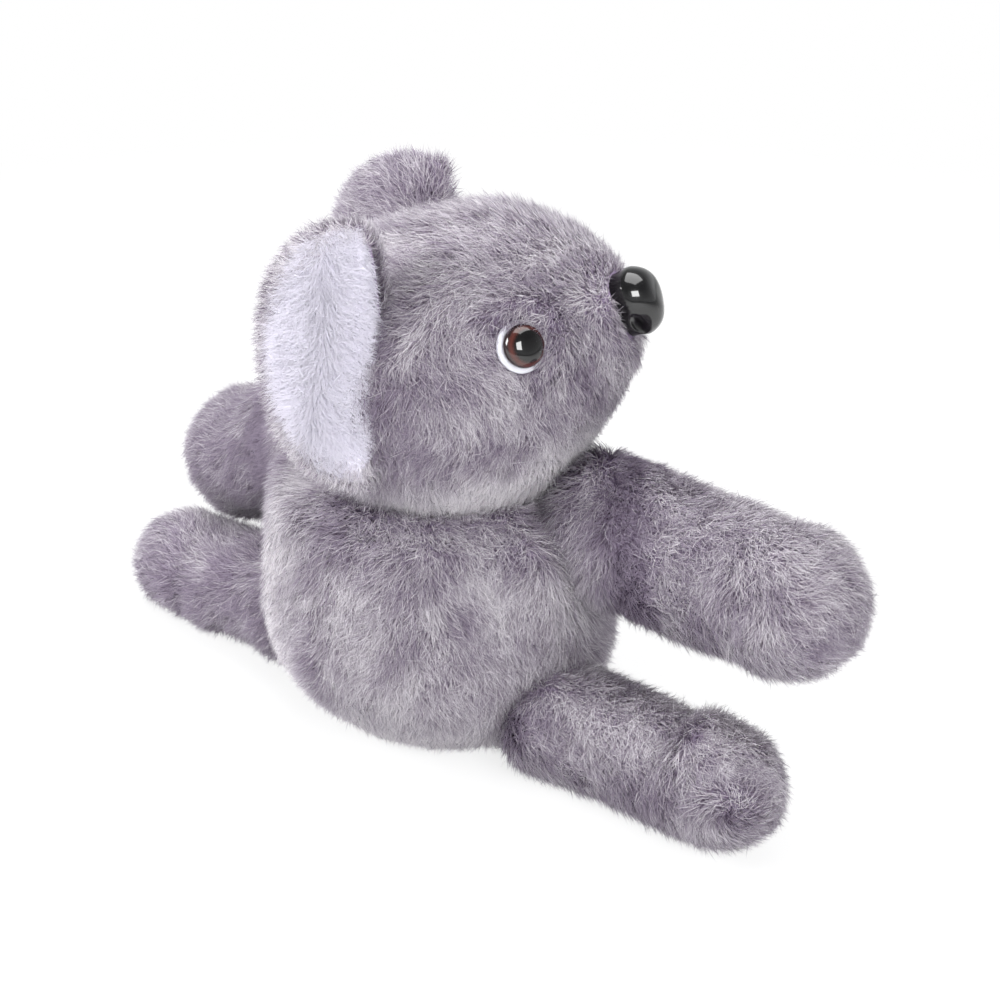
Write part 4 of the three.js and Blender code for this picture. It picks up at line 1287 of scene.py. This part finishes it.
def dress_eye(side):
    """A clear dome on a barbed shank, and the white ring behind it."""
    frame_of = EYE_FRAMES[side]
    shank = [(0, -SHANK_LENGTH), (SHANK_RADIUS - 0.3, -SHANK_LENGTH), (SHANK_RADIUS, -SHANK_LENGTH + 0.3)]
    for foot in np.arange(-SHANK_LENGTH + 1, -4, BARB_STEP):
        shank += [(SHANK_RADIUS, foot), (SHANK_RADIUS + BARB, foot + 0.9), (SHANK_RADIUS, foot + 1.1)]
    shank.append((SHANK_RADIUS, DOME_BACK))
    edge = [
        (EYE_RADIUS - EYE_EDGE * 0.7, DOME_BACK),
        (EYE_RADIUS - EYE_EDGE * 0.2, DOME_BACK + EYE_EDGE * 0.4),
    ]
    turns = np.linspace(0, np.pi / 2, 26)[:-1]
    dome_height = DOME_BACK + EYE_EDGE + (EYE_DOME - EYE_EDGE) * np.sin(turns)
    dome = list(zip(EYE_RADIUS * np.cos(turns) ** 0.8, dome_height)) + [(0, DOME_BACK + EYE_DOME)]
    form, rows = turned_form(shank + edge + dome, frame_of)
    points, quads, triangles = closed_grid(form, rows, 72)
    eye = make_piece(f"eye_{side}_dome", points, quads, triangles, EYE_GLOSS, "head")
    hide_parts(f"eye_{side}")
    local = (points - frame_of[0]) @ frame_of[1]
    layer = eye.data.uv_layers.new(name=EYE_MAP)
    corner = np.empty(len(eye.data.loops), np.int32)
    eye.data.loops.foreach_get("vertex_index", corner)
    painted = local[corner, :2] / EYE_RADIUS - frame_of[1][0, :2] * PUPIL_SHIFT
    layer.uv.foreach_set("vector", painted.astype(np.float32).ravel())

    inner, outer = SHANK_RADIUS + 0.65, EYE_RING_RADIUS
    low, high = POCKET_FLOOR + HARD_GAP, RING_TOP
    section = [
        (outer - RING_BEVEL, low), (outer, low + RING_BEVEL),
        (outer, high - RING_BEVEL), (outer - 0.15, high - 0.15), (outer - RING_BEVEL, high),
        (inner + 0.2, high), (inner, high - 0.2),
        (inner, low + 0.2), (inner + 0.2, low),
    ]
    points, quads = ring_form(section, frame_of, 96)
    no_triangles = np.zeros((0, 3), int)
    ring = make_piece(f"eye_{side}_white", points, quads, no_triangles, RING_WHITE, "head")
    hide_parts(f"eye_{side}_ring")


def ring_form(section, frame_of, sides):
    """A closed section of radius and height carried round the frame's axis."""
    place, rotation = frame_of
    line = np.array(section, float)
    rows = len(line)
    around = np.arange(sides) * 2 * np.pi / sides
    points = np.stack([
        line[:, 0][:, None] * np.cos(around),
        line[:, 0][:, None] * np.sin(around),
        np.repeat(line[:, 1][:, None], sides, 1),
    ], -1).reshape(-1, 3)
    row, side = np.meshgrid(np.arange(rows), np.arange(sides), indexing="ij")
    down, after = (row + 1) % rows, (side + 1) % sides
    quads = np.stack([row * sides + side, row * sides + after, down * sides + after, down * sides + side], -1)
    return points @ rotation.T + place, quads.reshape(-1, 4)


def nostril_depth(local):
    """One in the middle of a nostril, low on each side of the nose, and nothing a little way off."""
    forward = (local[:, 2] - (POCKET_FLOOR + HARD_GAP) - NOSTRIL_FORWARD) / NOSTRIL_WIDTH
    upward = (local[:, 1] + NOSTRIL_DROP) / NOSTRIL_HEIGHT
    return np.exp(-((forward ** 2 + upward ** 2) ** 1.6)) * ease(2, 4, np.abs(local[:, 0]))


NOSE_BACK_ROWS = 0.18     # the share of the rows on its flat back


def dress_nose():
    """A rounded triangle, wide above and crowned in front, with a nostril pressed into each side below."""
    place, rotation = NOSE_FRAME
    low = POCKET_FLOOR + HARD_GAP

    def surface(along, around):
        turn = (np.pi / 2) * np.clip((along - NOSE_BACK_ROWS) / (1 - NOSE_BACK_ROWS), 0, 1)
        front = np.cos(turn) ** 0.62 * (0.88 + 0.12 * ease(0, 0.5, turn))
        swell = np.where(along < NOSE_BACK_ROWS, 0.88 * along / NOSE_BACK_ROWS, front)
        x = NOSE_WIDTH / 2 * np.cos(around) * (1 + NOSE_TAPER * np.sin(around)) * swell
        y = NOSE_HEIGHT / 2 * np.sin(around) * swell
        z = low + NOSE_DEPTH * np.sin(turn) ** 0.9
        local = np.stack([x, y, z], 1)
        pressed = np.stack([0.34 * x, np.zeros_like(x), np.ones_like(x)], 1)
        return (local - nostril_depth(local)[:, None] * pressed) @ rotation.T + place

    points, quads, triangles = closed_grid(surface, 110, 144)
    nose = make_piece("nose_front", points, quads, triangles, POLISHED_BLACK, "head")
    hollow = nose.data.attributes.new("hollow", "FLOAT", "POINT")
    hollow.data.foreach_set("value", nostril_depth((points - place) @ rotation))
    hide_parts("nose")
    shank = [(0, -SHANK_LENGTH), (SHANK_RADIUS, -SHANK_LENGTH), (SHANK_RADIUS, low + 1), (0, low + 1)]
    form, rows = turned_form(shank, NOSE_FRAME)
    points, quads, triangles = closed_grid(form, rows, 32)
    make_piece("nose_shank", points, quads, triangles, POLISHED_BLACK, "head")


dress_body()
dress_head()
for limb_name, limb_seed in (("arm_left", 300), ("arm_right", 330), ("leg_left", 360), ("leg_right", 390)):
    dress_limb(limb_name, limb_seed)
dress_ear("left", 500)
dress_ear("right", 600)
dress_eye("left")
dress_eye("right")
dress_nose()
for node_name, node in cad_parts.items():
    if "washer" in node_name or "disc" in node_name:
        node.data.materials.clear()
        node.data.materials.append(NYLON)


# Stage


def studio_floor():
    """A wide pale floor. It looks white to the camera and still takes a soft shadow."""
    material, shader = bare_material("pale_floor", {
        "Roughness": 0.9,
        "Specular IOR Level": 0.1,
        "Base Color": (0.9, 0.9, 0.9, 1),
    })
    tree = material.node_tree
    place = add_node(tree, "ShaderNodeTexCoord").outputs["Object"]
    away = add_node(tree, "ShaderNodeVectorMath", {0: place}, operation="LENGTH").outputs["Value"]
    spread = {"Value": away, "From Min": 0.2, "From Max": 0.6, "To Min": 0.8, "To Max": 1.0}
    fade = add_node(tree, "ShaderNodeMapRange", spread).outputs[0]
    ray = add_node(tree, "ShaderNodeLightPath").outputs["Is Camera Ray"]
    share = add_node(tree, "ShaderNodeMath", {0: ray, 1: fade}, operation="MULTIPLY").outputs[0]
    glow = add_node(tree, "ShaderNodeEmission", {"Color": (1, 1, 1, 1)})
    mixed_surface(tree, share, shader, glow, "Material Output")
    mesh = bpy.data.meshes.new("floor")
    reach = 6.0
    corners = [(-reach, -reach, 0), (reach, -reach, 0), (reach, reach, 0), (-reach, reach, 0)]
    mesh.from_pydata(corners, [], [(0, 1, 2, 3)])
    mesh.materials.append(material)
    in_scene("floor", mesh)


LAMP_TARGET = Vector((0, 0, 0.09))


def softbox(name, place, size, power):
    """A square lamp that looks at the middle of the toy."""
    lamp = bpy.data.lights.new(name, "AREA")
    lamp.shape = "SQUARE"
    lamp.size = size
    lamp.energy = power
    thing = in_scene(name, lamp)
    thing.location = place
    thing.rotation_mode = "QUATERNION"
    thing.rotation_quaternion = (LAMP_TARGET - Vector(place)).to_track_quat("-Z", "Y")


def studio_world():
    """Pale light from all round, less from above, and plain white where the camera looks past the floor."""
    world = bpy.data.worlds.new("studio")
    world.use_nodes = True
    bpy.context.scene.world = world
    tree = world.node_tree
    place = add_node(tree, "ShaderNodeTexCoord").outputs["Generated"]
    height = add_node(tree, "ShaderNodeSeparateXYZ", {0: place}).outputs["Z"]
    spread = {"Value": height, "From Min": 0.0, "From Max": 0.6, "To Min": 0.85, "To Max": 0.3}
    level = add_node(tree, "ShaderNodeMapRange", spread).outputs[0]
    light = tree.nodes["Background"]
    feed(light, {"Color": (0.98, 0.99, 1.0, 1), "Strength": level})
    white = add_node(tree, "ShaderNodeBackground", {"Strength": 1.0})
    ray = add_node(tree, "ShaderNodeLightPath").outputs["Is Camera Ray"]
    mixed_surface(tree, ray, light, white, "World Output")


studio_floor()
studio_world()
softbox("overhead_softbox", (-0.05, 0.3, 1.2), 1.0, 15)
softbox("left_softbox", (-0.85, -0.8, 0.6), 0.5, 17)
softbox("right_softbox", (0.9, -0.55, 0.7), 0.5, 14)

scene = bpy.context.scene
scene.view_settings.view_transform = "Standard"
camera = in_scene("camera", bpy.data.cameras.new("camera"))
camera.data.sensor_width = 36
camera.data.lens = 87.264
camera.location = (0.4675, -0.5244, 0.4340)
azimuth, elevation = math.radians(40), math.radians(27)
towards = Vector((
    -math.sin(azimuth) * math.cos(elevation),
    math.cos(azimuth) * math.cos(elevation),
    -math.sin(elevation),
))
camera.rotation_mode = "QUATERNION"
camera.rotation_quaternion = towards.to_track_quat("-Z", "Y")
scene.camera = camera
